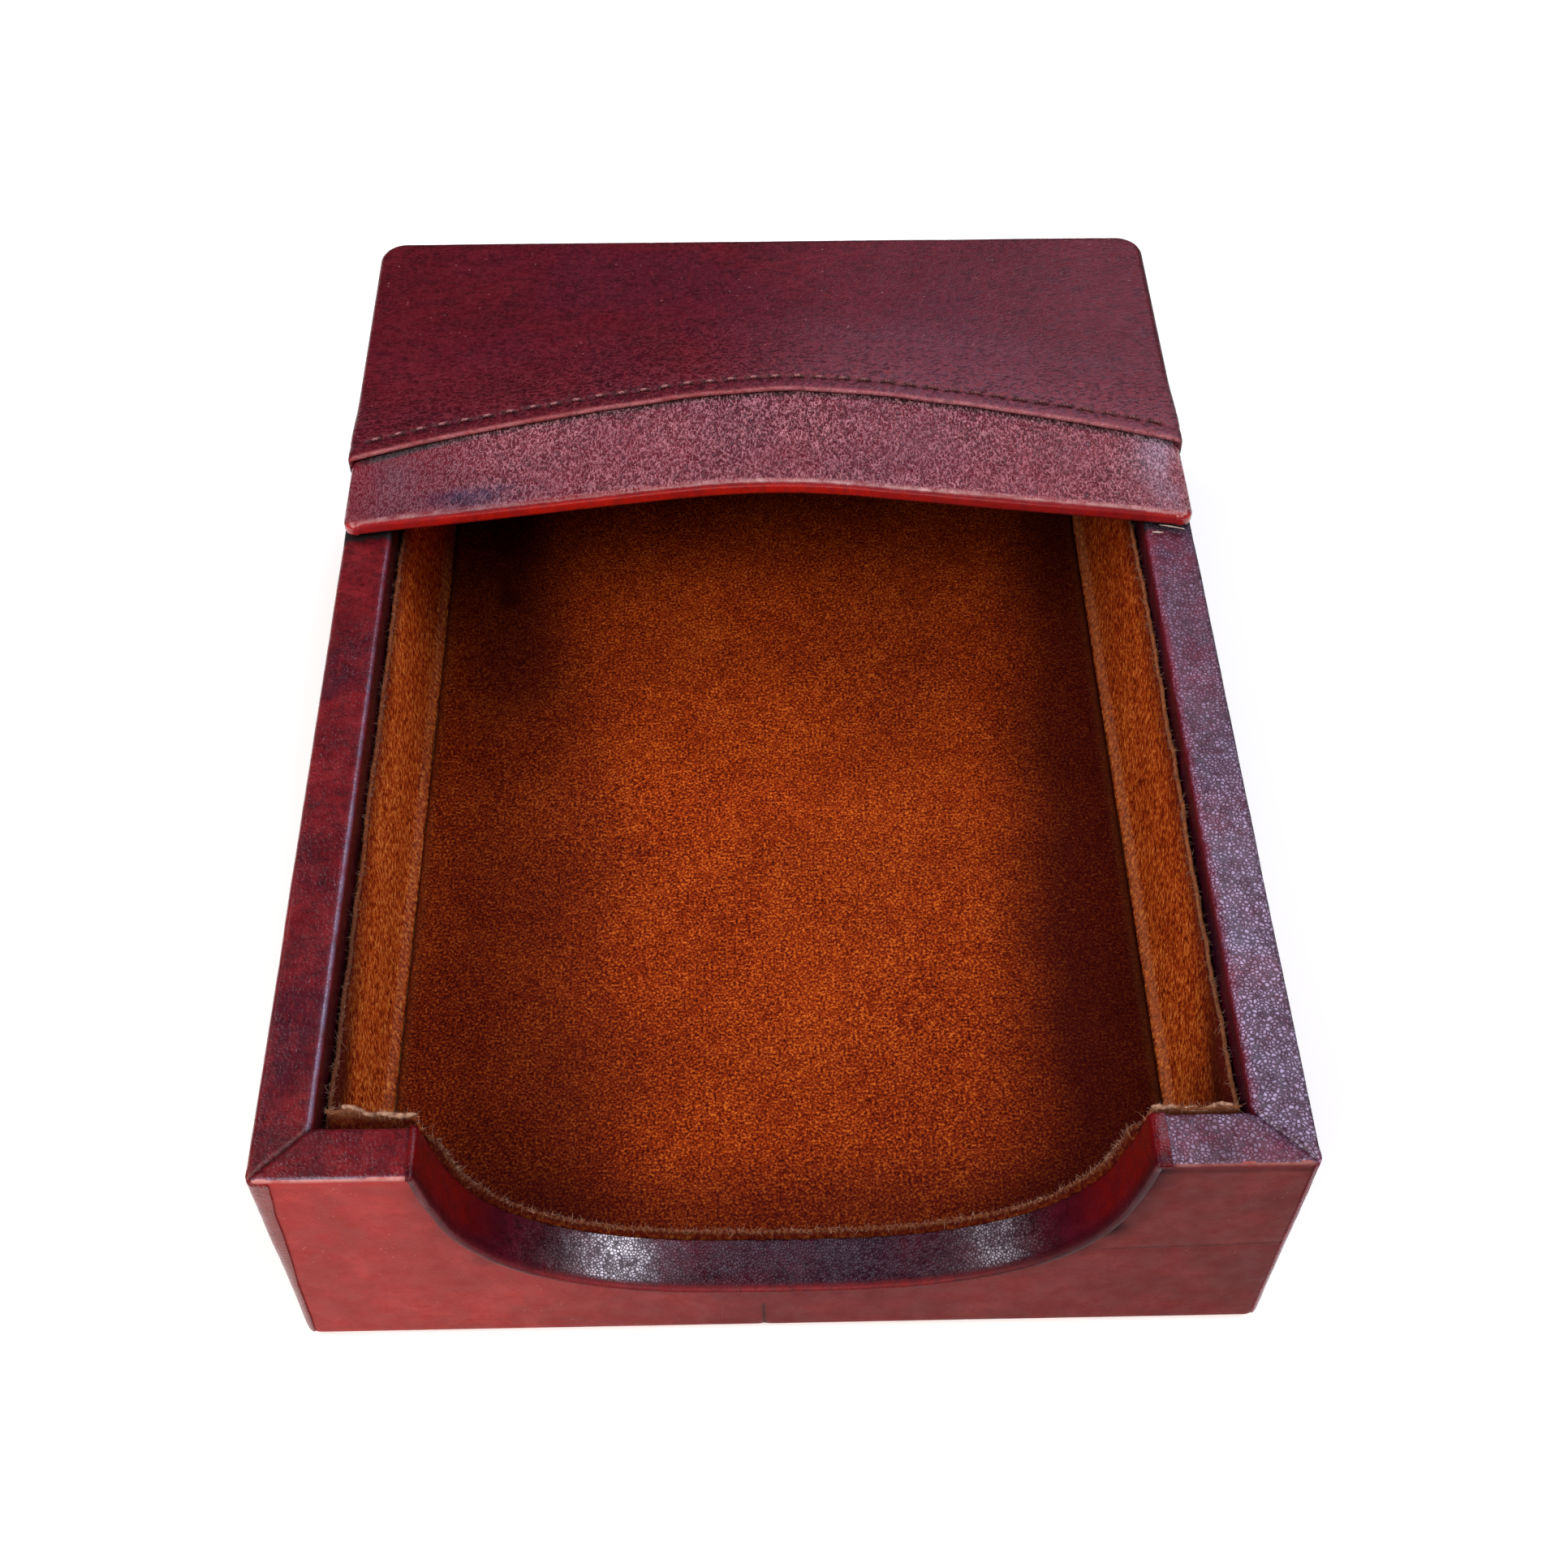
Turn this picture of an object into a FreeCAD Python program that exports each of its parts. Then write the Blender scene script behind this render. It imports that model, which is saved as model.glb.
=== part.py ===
import FreeCAD, Part
import math
import os

V = FreeCAD.Vector

# Memo pad holder: a leather-covered box with a finger scoop in its front wall, lined
# with velveteen, with a fixed leather-covered bridge across its back.
# Millimetres. Origin at the centre of the footprint, on the surface it stands on.
# +X to the right, -Y to the front (the scoop), +Z up.

# ---------------------------------------------------------------- driving dimensions
width = 127.0              # outside, over the leather
length = 173.4             # outside, over the leather
leather_t = 0.8
felt_t = 0.6
felt_inset = 2.5           # felt edge inside the leather's outer face
base_t = 3.0
wall_t = 5.5
rim_above_felt = 42.3      # leather rim above the lowest leather edge
corner_r_front = 2.2       # vertical corners of the box, over the leather
corner_r_back = 4.0
rim_r = 1.2                # outer edge of the rim, over the leather
foot_r = 0.9               # lowest outer edge of the leather
turn_in_depth = 5.4        # leather turned down inside the rim
turn_under = 12.0          # leather turned under the base
card_t = 1.0
velvet_t = 0.5
lining_t = 1.8             # wall lining below the turned-in leather
lining_lap = 1.0           # the same where it laps over the turned-in leather
lining_top_drop = 3.8      # raw top edge of the lining below the rim
lining_foot_w = 1.2        # foot of the wall lining on the base
lining_foot_h = 1.2
pad_gap = 0.2              # floor pad to lining foot

# finger scoop in the front wall: half profile (x, height above the lowest leather edge)
scoop_half = [(0.0, 11.1), (8.0, 11.25), (15.0, 11.75), (20.8, 12.85), (25.5, 14.35),
              (30.2, 16.6), (34.0, 19.3), (37.2, 22.7), (39.4, 26.0), (40.9, 29.4),
              (42.1, 33.8), (43.0, 38.0), (43.6, 42.3)]
scoop_lining_proud = 1.0   # lining edge stands into the scoop

# bridge
bridge_gap = 1.0           # rim to the bridge's leather underside
bridge_board_t = 1.0
bridge_corner_r = 5.0      # back corners, in plan
bridge_front_end = 19.1    # y of the front edge at the two ends
bridge_front_slope = 0.145
bridge_front_arc = 14.0    # half width of the arc in the middle
bridge_turn = 10.0         # leather turned under the bridge
spacer_inset_front = 4.0
# front edge of the upper leather (the hem's fold): distance from its apex, y
hem_apex_x = 3.0
hem_pts = [(0.0, 47.4), (8.0, 46.75), (17.0, 45.55), (21.5, 44.5), (29.0, 43.05),
           (34.0, 41.8), (41.0, 40.1), (46.0, 38.75), (51.0, 37.35), (56.0, 35.8),
           (60.5, 34.3), (67.0, 32.0)]
hem_w = 6.5                # doubled part of the hem
hem_t = 1.2                # thickness of the doubled part
seam_lap = 8.0             # the front band reaches this far behind the fold
stitch_set_back = 3.0
stitch_pitch = 3.5
stitch_len = 2.7
stitch_d = 0.8

# brads
brad_d = 1.2
brad_len = 16.0
brad_head_d = 2.0
brad_head_t = 0.7
brad_heights = (12.0, 31.0)

# ---------------------------------------------------------------- derived levels
hx = width / 2.0
hy = length / 2.0
z_leather = felt_t
z_base = z_leather + leather_t
z_base_top = z_base + base_t
z_card_top = z_base_top + card_t
z_floor = z_card_top + velvet_t
z_rim = z_leather + rim_above_felt
z_core_top = z_rim - leather_t
core_x = hx - leather_t                 # outer face of the side boards
core_y = hy - leather_t
in_x = core_x - wall_t                  # inner face of the side boards
in_y = core_y - wall_t
lea_x = in_x - leather_t                # inner face of the turned-in leather
lea_y = in_y - leather_t
lin_x = in_x - lining_t                 # face of the wall linings
lin_y = in_y - lining_t
z_turn = z_rim - turn_in_depth
z_lin_top = z_rim - lining_top_drop
mitre = hy - hx                         # |y| - |x| along the mitred corners

z_spacer = z_rim
z_bl = z_rim + bridge_gap               # underside of the bridge's leather
z_bb = z_bl + leather_t                 # underside of the bridge board
z_bt = z_bb + bridge_board_t            # its top
z_band = z_bt + leather_t               # top of the leather band and of the panel's field
z_hem = z_band + hem_t


# ---------------------------------------------------------------- helpers
def box(x0, x1, y0, y1, z0, z1):
    return Part.makeBox(x1 - x0, y1 - y0, z1 - z0, V(x0, y0, z0))


def prism(edges, vec):
    return Part.Face(Part.Wire(edges)).extrude(vec)


def polygon(pts, z0, z1):
    w = Part.makePolygon([V(x, y, z0) for x, y in pts] + [V(pts[0][0], pts[0][1], z0)])
    return Part.Face(w).extrude(V(0, 0, z1 - z0))


def line(a, b):
    return Part.LineSegment(a, b).toShape()


def spline(pts):
    c = Part.BSplineCurve()
    c.interpolate(pts)
    return c.toShape()


def corner(cx, cy, r, a0, a1, z):
    def p(a):
        return V(cx + r * math.cos(math.radians(a)), cy + r * math.sin(math.radians(a)), z)
    return Part.Arc(p(a0), p((a0 + a1) / 2.0), p(a1)).toShape()


def rounded(x, y, rf, rb, z0, z1):
    """Block |X| < x, |Y| < y with front and back vertical corner radii."""
    e = [line(V(-x + rf, -y, z0), V(x - rf, -y, z0)),
         corner(x - rf, -y + rf, rf, -90, 0, z0),
         line(V(x, -y + rf, z0), V(x, y - rb, z0)),
         corner(x - rb, y - rb, rb, 0, 90, z0),
         line(V(x - rb, y, z0), V(-x + rb, y, z0)),
         corner(-x + rb, y - rb, rb, 90, 180, z0),
         line(V(-x, y - rb, z0), V(-x, -y + rf, z0)),
         corner(-x + rf, -y + rf, rf, 180, 270, z0)]
    return prism(e, V(0, 0, z1 - z0))


def fillet_level(shape, z, r):
    """Round every edge that lies wholly at height z."""
    es = [e for e in shape.Edges
          if abs(e.BoundBox.ZMin - z) < 1e-6 and abs(e.BoundBox.ZMax - z) < 1e-6]
    return shape.makeFillet(r, es)


def solid(shape):
    s = shape.removeSplitter() if len(shape.Solids) else shape
    return s


def offset_points(pts, d):
    """Points moved by d to the left of their direction of travel."""
    out = []
    n = len(pts)
    for i in range(n):
        a = pts[max(i - 1, 0)]
        b = pts[min(i + 1, n - 1)]
        tx, ty = b[0] - a[0], b[1] - a[1]
        m = math.hypot(tx, ty)
        out.append((pts[i][0] - d * ty / m, pts[i][1] + d * tx / m))
    return out


def write(name, shape):
    for s in shape.Solids:
        if not s.isValid():
            raise RuntimeError(name + ": invalid solid")
    if not shape.Solids:
        raise RuntimeError(name + ": no solid")
    out = shape.Solids[0] if len(shape.Solids) == 1 else Part.makeCompound(shape.Solids)
    out.exportStep("parts/" + name + ".step")
    b = out.BoundBox
    print("%-26s solids %2d  vol %9.1f  x %7.2f %7.2f  y %7.2f %7.2f  z %6.2f %6.2f" % (
        name, len(shape.Solids), out.Volume, b.XMin, b.XMax, b.YMin, b.YMax, b.ZMin, b.ZMax))


os.makedirs("parts", exist_ok=True)

# ---------------------------------------------------------------- scoop profile
# from the left rim down and round to the right rim; left of travel is the opening
scoop_pts = ([(-x, z + z_leather) for x, z in reversed(scoop_half)] +
             [(x, z + z_leather) for x, z in scoop_half[1:]])


def scoop_cutter(grow, y0, y1):
    """The U-shaped opening, grown outwards by grow, between y0 and y1, open at the top."""
    pts = offset_points(scoop_pts, -grow)
    pts[0] = (-(scoop_half[-1][0] + grow), z_rim)
    pts[-1] = (scoop_half[-1][0] + grow, z_rim)
    p3 = [V(x, y0, z) for x, z in pts]
    top = z_rim + 10.0
    e = [spline(p3),
         line(p3[-1], V(p3[-1].x, y0, top)),
         line(V(p3[-1].x, y0, top), V(p3[0].x, y0, top)),
         line(V(p3[0].x, y0, top), p3[0])]
    return prism(e, V(0, y1 - y0, 0))


# ---------------------------------------------------------------- the wooden box
corner_core = rounded(core_x, core_y, corner_r_front - leather_t, corner_r_back - leather_t,
                      z_base, z_core_top)

brad_y = core_y - wall_t / 2.0
brads = []
for sx in (-1, 1):
    for sy in (-1, 1):
        for z in brad_heights:
            shank = Part.makeCylinder(brad_d / 2.0, brad_len,
                                      V(sx * core_x, sy * brad_y, z), V(-sx, 0, 0))
            head = Part.makeCylinder(brad_head_d / 2.0, brad_head_t,
                                     V(sx * core_x, sy * brad_y, z), V(-sx, 0, 0))
            brads.append(shank.fuse(head).removeSplitter().common(corner_core))
all_brads = Part.makeCompound([s for b in brads for s in b.Solids])

base_board = box(-in_x, in_x, -in_y, in_y, z_base, z_base_top)
left_wall_core = corner_core.common(box(-core_x, -in_x, -core_y, core_y, z_base, z_core_top))
right_wall_core = corner_core.common(box(in_x, core_x, -core_y, core_y, z_base, z_core_top))
front_wall_core = box(-in_x, in_x, -core_y, -in_y, z_base, z_core_top)
front_wall_core = front_wall_core.cut(scoop_cutter(leather_t, -hy - 5.0, -in_y + 5.0))
back_wall_core = box(-in_x, in_x, in_y, core_y, z_base, z_core_top)
left_wall_core = left_wall_core.cut(all_brads)
right_wall_core = right_wall_core.cut(all_brads)
front_wall_core = front_wall_core.cut(all_brads)
back_wall_core = back_wall_core.cut(all_brads)

# ---------------------------------------------------------------- leather round the box
outer = rounded(hx, hy, corner_r_front, corner_r_back, z_leather, z_rim)
outer = fillet_level(outer, z_rim, rim_r)
outer = fillet_level(outer, z_leather, foot_r)
inside = rounded(core_x, core_y, corner_r_front - leather_t, corner_r_back - leather_t,
                 z_base, z_core_top)
wrap = outer.cut(inside)
wrap = wrap.cut(box(-lea_x, lea_x, -lea_y, lea_y, z_core_top - 1.0, z_rim + 1.0))
turn_in = box(-in_x, in_x, -in_y, in_y, z_turn, z_core_top)
turn_in = turn_in.cut(box(-lea_x, lea_x, -lea_y, lea_y, z_turn - 1.0, z_core_top + 1.0))
wrap = wrap.fuse(turn_in).removeSplitter()
wrap = wrap.cut(box(-hx + turn_under, hx - turn_under, -hy + turn_under, hy - turn_under,
                    z_leather - 1.0, z_base + 0.5))

far = 120.0
front_wedge = polygon([(0, -mitre), (-far, -mitre - far), (far, -mitre - far)], -5.0, 60.0)
back_wedge = polygon([(0, mitre), (far, mitre + far), (-far, mitre + far)], -5.0, 60.0)
left_wedge = polygon([(0, -mitre), (0, mitre), (-far, mitre + far), (-far, -mitre - far)],
                     -5.0, 60.0)
right_wedge = polygon([(0, mitre), (0, -mitre), (far, -mitre - far), (far, mitre + far)],
                      -5.0, 60.0)
left_wall_leather = wrap.common(left_wedge)
right_wall_leather = wrap.common(right_wedge)
back_wall_leather = wrap.common(back_wedge)
front_wall_leather = wrap.common(front_wedge)
front_wall_leather = front_wall_leather.cut(scoop_cutter(leather_t, -hy - 5.0, -lea_y + 5.0))

scoop_strip = scoop_cutter(leather_t, -hy, -lea_y).cut(scoop_cutter(0.0, -hy - 1.0, -lea_y + 1.0))
scoop_strip = scoop_strip.common(box(-hx, hx, -hy, -lea_y, z_leather, z_rim))

# ---------------------------------------------------------------- linings of the walls


def side_lining(s):
    a = box(lea_x, in_x, -in_y, in_y, z_base_top, z_turn)
    b = box(lin_x, lea_x, -in_y, in_y, z_base_top, z_turn)
    c = box(lin_x, lea_x, -lea_y, lea_y, z_turn, z_lin_top)
    d = box(lin_x - lining_foot_w, lin_x, -lin_y, lin_y, z_base_top, z_base_top + lining_foot_h)
    sh = a.fuse([b, c, d]).removeSplitter()
    if s < 0:
        sh = sh.mirror(V(0, 0, 0), V(1, 0, 0))
    return sh


def end_lining():
    """The lining of the back wall; mirrored and cut for the front."""
    a = box(-lin_x, lin_x, lea_y, in_y, z_base_top, z_turn)
    b = box(-lin_x, lin_x, lin_y, lea_y, z_base_top, z_lin_top)
    fx = lin_x - lining_foot_w
    d = box(-fx, fx, lin_y - lining_foot_w, lin_y, z_base_top, z_base_top + lining_foot_h)
    return a.fuse([b, d]).removeSplitter()


left_wall_lining = side_lining(-1)
right_wall_lining = side_lining(1)
back_wall_lining = end_lining()
front_wall_lining = end_lining().mirror(V(0, 0, 0), V(0, 1, 0))
front_wall_lining = front_wall_lining.cut(scoop_cutter(-scoop_lining_proud, -hy - 5.0, -lin_y + 5.0))
front_wall_lining = front_wall_lining.cut(scoop_cutter(leather_t, -in_y - 1.0, -lea_y))

# ---------------------------------------------------------------- floor pad
px = lin_x - lining_foot_w - pad_gap
py = lin_y - lining_foot_w - pad_gap
floor_card = box(-px + velvet_t, px - velvet_t, -py + velvet_t, py - velvet_t,
                 z_base_top, z_card_top)
floor_lining = rounded(px, py, 1.0, 1.0, z_base_top, z_floor)
floor_lining = fillet_level(floor_lining, z_floor, 0.45)
floor_lining = floor_lining.cut(floor_card)

# ---------------------------------------------------------------- underside
wx = hx - turn_under
wy = hy - turn_under
bottom_filler_card = box(-wx, wx, -wy, wy, z_leather, z_base)
bottom_felt = rounded(hx - felt_inset, hy - felt_inset, 2.0, 2.5, 0.0, felt_t)

# ---------------------------------------------------------------- bridge
# front edge: straight flanks with an arc between them, back side with rounded corners


def front_curve_points():
    end_x = hx
    y_tan = bridge_front_end + bridge_front_slope * (end_x - bridge_front_arc)
    ang = math.atan(bridge_front_slope)
    r = bridge_front_arc / math.sin(ang)
    apex = y_tan + r * (1.0 - math.cos(ang))
    return y_tan, apex


y_tan, y_apex = front_curve_points()


def bridge_edges(inset, z):
    """Footprint edges of the bridge, inset from its leather's outer face."""
    x = hx - inset
    yb = hy - inset
    r = bridge_corner_r - inset
    dy = inset * math.sqrt(1.0 + bridge_front_slope ** 2)
    ye = bridge_front_end + bridge_front_slope * inset + dy
    return [line(V(-x, ye, z), V(-bridge_front_arc, y_tan + dy, z)),
            Part.Arc(V(-bridge_front_arc, y_tan + dy, z), V(0, y_apex + inset, z),
                     V(bridge_front_arc, y_tan + dy, z)).toShape(),
            line(V(bridge_front_arc, y_tan + dy, z), V(x, ye, z)),
            line(V(x, ye, z), V(x, yb - r, z)),
            corner(x - r, yb - r, r, 0, 90, z),
            line(V(x - r, yb, z), V(-x + r, yb, z)),
            corner(-x + r, yb - r, r, 90, 180, z),
            line(V(-x, yb - r, z), V(-x, ye, z))]


def bridge_block(inset, z0, z1):
    if inset < bridge_corner_r - 0.2:
        return prism(bridge_edges(inset, z0), V(0, 0, z1 - z0))
    x = hx - inset
    yb = hy - inset
    dy = inset * math.sqrt(1.0 + bridge_front_slope ** 2)
    ye = bridge_front_end + bridge_front_slope * inset + dy
    e = [line(V(-x, ye, z0), V(-bridge_front_arc, y_tan + dy, z0)),
         Part.Arc(V(-bridge_front_arc, y_tan + dy, z0), V(0, y_apex + inset, z0),
                  V(bridge_front_arc, y_tan + dy, z0)).toShape(),
         line(V(bridge_front_arc, y_tan + dy, z0), V(x, ye, z0)),
         line(V(x, ye, z0), V(x, yb, z0)),
         line(V(x, yb, z0), V(-x, yb, z0)),
         line(V(-x, yb, z0), V(-x, ye, z0))]
    return prism(e, V(0, 0, z1 - z0))


# the hem's fold line, from left to right
fold_pts = ([(hem_apex_x - u, y) for u, y in reversed(hem_pts)] +
            [(hem_apex_x + u, y) for u, y in hem_pts[1:]])


def behind_fold(d, z0, z1, y_end=100.0):
    """Everything more than d behind the fold line."""
    pts = offset_points(fold_pts, d) if d else list(fold_pts)
    p3 = [V(x, y, z0) for x, y in pts]
    e = [spline(p3),
         line(p3[-1], V(p3[-1].x, y_end, z0)),
         line(V(p3[-1].x, y_end, z0), V(p3[0].x, y_end, z0)),
         line(V(p3[0].x, y_end, z0), p3[0])]
    return prism(e, V(0, 0, z1 - z0))


bridge_board = bridge_block(leather_t, z_bb, z_bt)
cover = bridge_block(0.0, z_bl, z_band)
cover = cover.cut(bridge_board)
cover = cover.cut(bridge_block(bridge_turn, z_bl - 1.0, z_bb + 0.2))
rear = behind_fold(seam_lap, z_bl - 1.0, z_band + 1.0)
bridge_front_leather = cover.cut(rear)
panel_field = cover.common(rear)
footprint = bridge_block(0.0, z_bl, z_hem + 1.0)
hem = behind_fold(0.0, z_band, z_hem).cut(behind_fold(hem_w, z_band - 1.0, z_hem + 1.0))
lap = behind_fold(hem_w - 0.5, z_band, z_band + leather_t).cut(
    behind_fold(seam_lap + 1.2, z_band - 1.0, z_hem + 1.0))
panel_top = hem.fuse(lap).common(footprint)
bridge_top_leather = panel_field.fuse(panel_top).removeSplitter()

# one row of stitches, parallel to the fold
row = offset_points(fold_pts, stitch_set_back)
row_edge = spline([V(x, y, z_hem) for x, y in row])
row_len = row_edge.Length
stitches = []
n = int(row_len / stitch_pitch)
for i in range(n + 1):
    d = (row_len - n * stitch_pitch) / 2.0 + i * stitch_pitch
    if d > row_len:
        break
    t = row_edge.getParameterByLength(d)
    p = row_edge.valueAt(t)
    if abs(p.x) > hx - 1.9:
        continue
    tan = row_edge.tangentAt(t)
    a = p.sub(V(tan.x, tan.y, 0).multiply(stitch_len / 2.0 - stitch_d / 2.0))
    bar = Part.makeCylinder(stitch_d / 2.0, stitch_len - stitch_d, a, V(tan.x, tan.y, 0))
    e0 = Part.makeSphere(stitch_d / 2.0, a)
    e1 = Part.makeSphere(stitch_d / 2.0, a.add(V(tan.x, tan.y, 0).multiply(stitch_len - stitch_d)))
    stitches.append(bar.fuse([e0, e1]).removeSplitter())
hem_stitching = Part.makeCompound([s for st in stitches for s in st.Solids])
bridge_top_leather = bridge_top_leather.cut(hem_stitching)

# velveteen-faced card under the bridge; it carries the bridge on the rails
under = bridge_block(spacer_inset_front, z_spacer, z_bl)
under = under.common(box(-hx + 3.5, hx - 3.5, 0, hy - 4.0, z_spacer, z_bl))
under_fill = bridge_block(bridge_turn, z_bl, z_bb)
bridge_underside_lining = under.fuse(under_fill).removeSplitter()

# ---------------------------------------------------------------- write the parts
write("base_board", base_board)
write("left_wall_core", left_wall_core)
write("right_wall_core", right_wall_core)
write("front_wall_core", front_wall_core)
write("back_wall_core", back_wall_core)
write("corner_brads", all_brads)
write("bridge_board", bridge_board)
write("left_wall_leather", left_wall_leather)
write("right_wall_leather", right_wall_leather)
write("front_wall_leather", front_wall_leather)
write("back_wall_leather", back_wall_leather)
write("scoop_strip_leather", scoop_strip)
write("bridge_front_leather", bridge_front_leather)
write("bridge_top_leather", bridge_top_leather)
write("hem_stitching", hem_stitching)
write("left_wall_lining", left_wall_lining)
write("right_wall_lining", right_wall_lining)
write("front_wall_lining", front_wall_lining)
write("back_wall_lining", back_wall_lining)
write("floor_card", floor_card)
write("floor_lining", floor_lining)
write("bridge_underside_lining", bridge_underside_lining)
write("bottom_filler_card", bottom_filler_card)
write("bottom_felt", bottom_felt)
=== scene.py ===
import math

import bpy
import bmesh
import numpy as np
from mathutils import Matrix, Vector


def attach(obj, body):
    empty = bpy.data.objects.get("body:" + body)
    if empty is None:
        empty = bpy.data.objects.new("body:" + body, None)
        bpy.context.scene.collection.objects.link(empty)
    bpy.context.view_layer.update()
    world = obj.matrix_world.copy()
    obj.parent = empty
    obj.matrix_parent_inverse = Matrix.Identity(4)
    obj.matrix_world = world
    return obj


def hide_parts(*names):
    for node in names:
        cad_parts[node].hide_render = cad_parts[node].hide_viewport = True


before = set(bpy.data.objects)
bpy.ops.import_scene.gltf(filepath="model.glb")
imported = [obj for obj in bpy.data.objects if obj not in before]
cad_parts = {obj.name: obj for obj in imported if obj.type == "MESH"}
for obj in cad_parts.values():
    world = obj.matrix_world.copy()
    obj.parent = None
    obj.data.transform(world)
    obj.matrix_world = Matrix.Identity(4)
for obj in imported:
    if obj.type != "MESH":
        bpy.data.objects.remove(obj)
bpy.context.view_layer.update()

# Lengths below are in millimetres in the row frame; build() turns them into metres.
MM = 0.001

HX, HY = 63.5, 86.7              # half width and half length of the box
Z_LEA, Z_BASE, Z_BASE_TOP = 0.6, 1.4, 4.4
Z_FLOOR = 5.9                    # velveteen floor
Z_RIM = 42.9                     # leather on the rims
Z_BL, Z_BAND, Z_HEM = 43.9, 46.5, 47.7   # bridge: underside, leather top, hem top
LEA = 0.8                        # leather thickness
YW = HY - 8.1                    # face of the end linings; the side linings' is HX - 8.1


# ------------------------------------------------------------------ numbers
def _hash(i, j, k, seed):
    n = (i * 374761393 + j * 668265263 + k * 1274126177 + seed * 974711 + 1013) & 0xFFFFFFFF
    n = ((n ^ (n >> 13)) * 1274126177) & 0xFFFFFFFF
    n = ((n ^ (n >> 16)) * 1103515245) & 0xFFFFFFFF
    return ((n ^ (n >> 15)) & 0xFFFFFF) / float(0xFFFFFF) * 2 - 1


def noise(P, size, seed=0):
    """Smooth lattice noise from -1 to 1 at the points P, with cells of that size in mm."""
    q = np.asarray(P, float) / np.asarray(size, float)
    i = np.floor(q).astype(np.int64)
    f = q - i
    f = f * f * (3 - 2 * f)
    out = 0.0
    for a in (0, 1):
        wa = f[..., 0] if a else 1 - f[..., 0]
        for b in (0, 1):
            wb = f[..., 1] if b else 1 - f[..., 1]
            for c in (0, 1):
                wc = f[..., 2] if c else 1 - f[..., 2]
                out = out + wa * wb * wc * _hash(i[..., 0] + a, i[..., 1] + b, i[..., 2] + c, seed)
    return out


def fbm(P, size, seed=0, octaves=3, gain=0.5):
    out, amp = 0.0, 1.0
    for o in range(octaves):
        out = out + amp * noise(P, np.asarray(size, float) / 2 ** o, seed + 17 * o)
        amp *= gain
    return out


def step(a, b, x):
    t = np.clip((np.asarray(x, float) - a) / (b - a), 0, 1)
    return t * t * (3 - 2 * t)


def unit(v):
    return v / np.maximum(np.linalg.norm(v, axis=-1, keepdims=True), 1e-12)


class Spline:
    """Natural cubic spline through points, by chord length."""

    def __init__(self, pts):
        p = np.array(pts, float)
        t = np.r_[0, np.cumsum(np.linalg.norm(np.diff(p, axis=0), axis=1))]
        h = np.diff(t)
        n = len(t)
        A, b = np.eye(n), np.zeros_like(p)
        for i in range(1, n - 1):
            A[i, i - 1], A[i, i], A[i, i + 1] = h[i - 1], 2 * (h[i - 1] + h[i]), h[i]
            b[i] = 6 * ((p[i + 1] - p[i]) / h[i] - (p[i] - p[i - 1]) / h[i - 1])
        self.m, self.t, self.p, self.h = np.linalg.solve(A, b), t, p, h

    def __call__(self, s):
        s = np.atleast_1d(np.asarray(s, float))
        i = np.clip(np.searchsorted(self.t, s, side="right") - 1, 0, len(self.h) - 1)
        a, h = (s - self.t[i])[:, None], self.h[i][:, None]
        m0, m1, p0, p1 = self.m[i], self.m[i + 1], self.p[i], self.p[i + 1]
        return (m0 * (h - a) ** 3 + m1 * a ** 3) / (6 * h) + (p0 / h - m0 * h / 6) * (h - a) + (p1 / h - m1 * h / 6) * a

    def even(self, step_mm, lo=None, hi=None):
        s = np.linspace(self.t[0] if lo is None else lo, self.t[-1] if hi is None else hi, 4000)
        q = self(s)
        return resample(q, step_mm)


def resample(q, step_mm):
    d = np.r_[0, np.cumsum(np.linalg.norm(np.diff(q, axis=0), axis=1))]
    n = max(2, int(round(d[-1] / step_mm)) + 1)
    t = np.linspace(0, d[-1], n)
    return np.stack([np.interp(t, d, q[:, k]) for k in range(q.shape[1])], -1)


# ------------------------------------------------------------------ meshes
def grid(n, m):
    i = (np.arange(n - 1)[:, None] * m + np.arange(m - 1)[None, :]).ravel()
    return np.stack([i, i + 1, i + m + 1, i + m], -1)


def normals(V, F):
    n = np.cross(V[F[:, 2]] - V[F[:, 0]], V[F[:, 3]] - V[F[:, 1]])
    out = np.zeros_like(V)
    for k in range(4):
        for c in range(3):
            out[:, c] += np.bincount(F[:, k], n[:, c], len(V))
    return unit(out)


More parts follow.
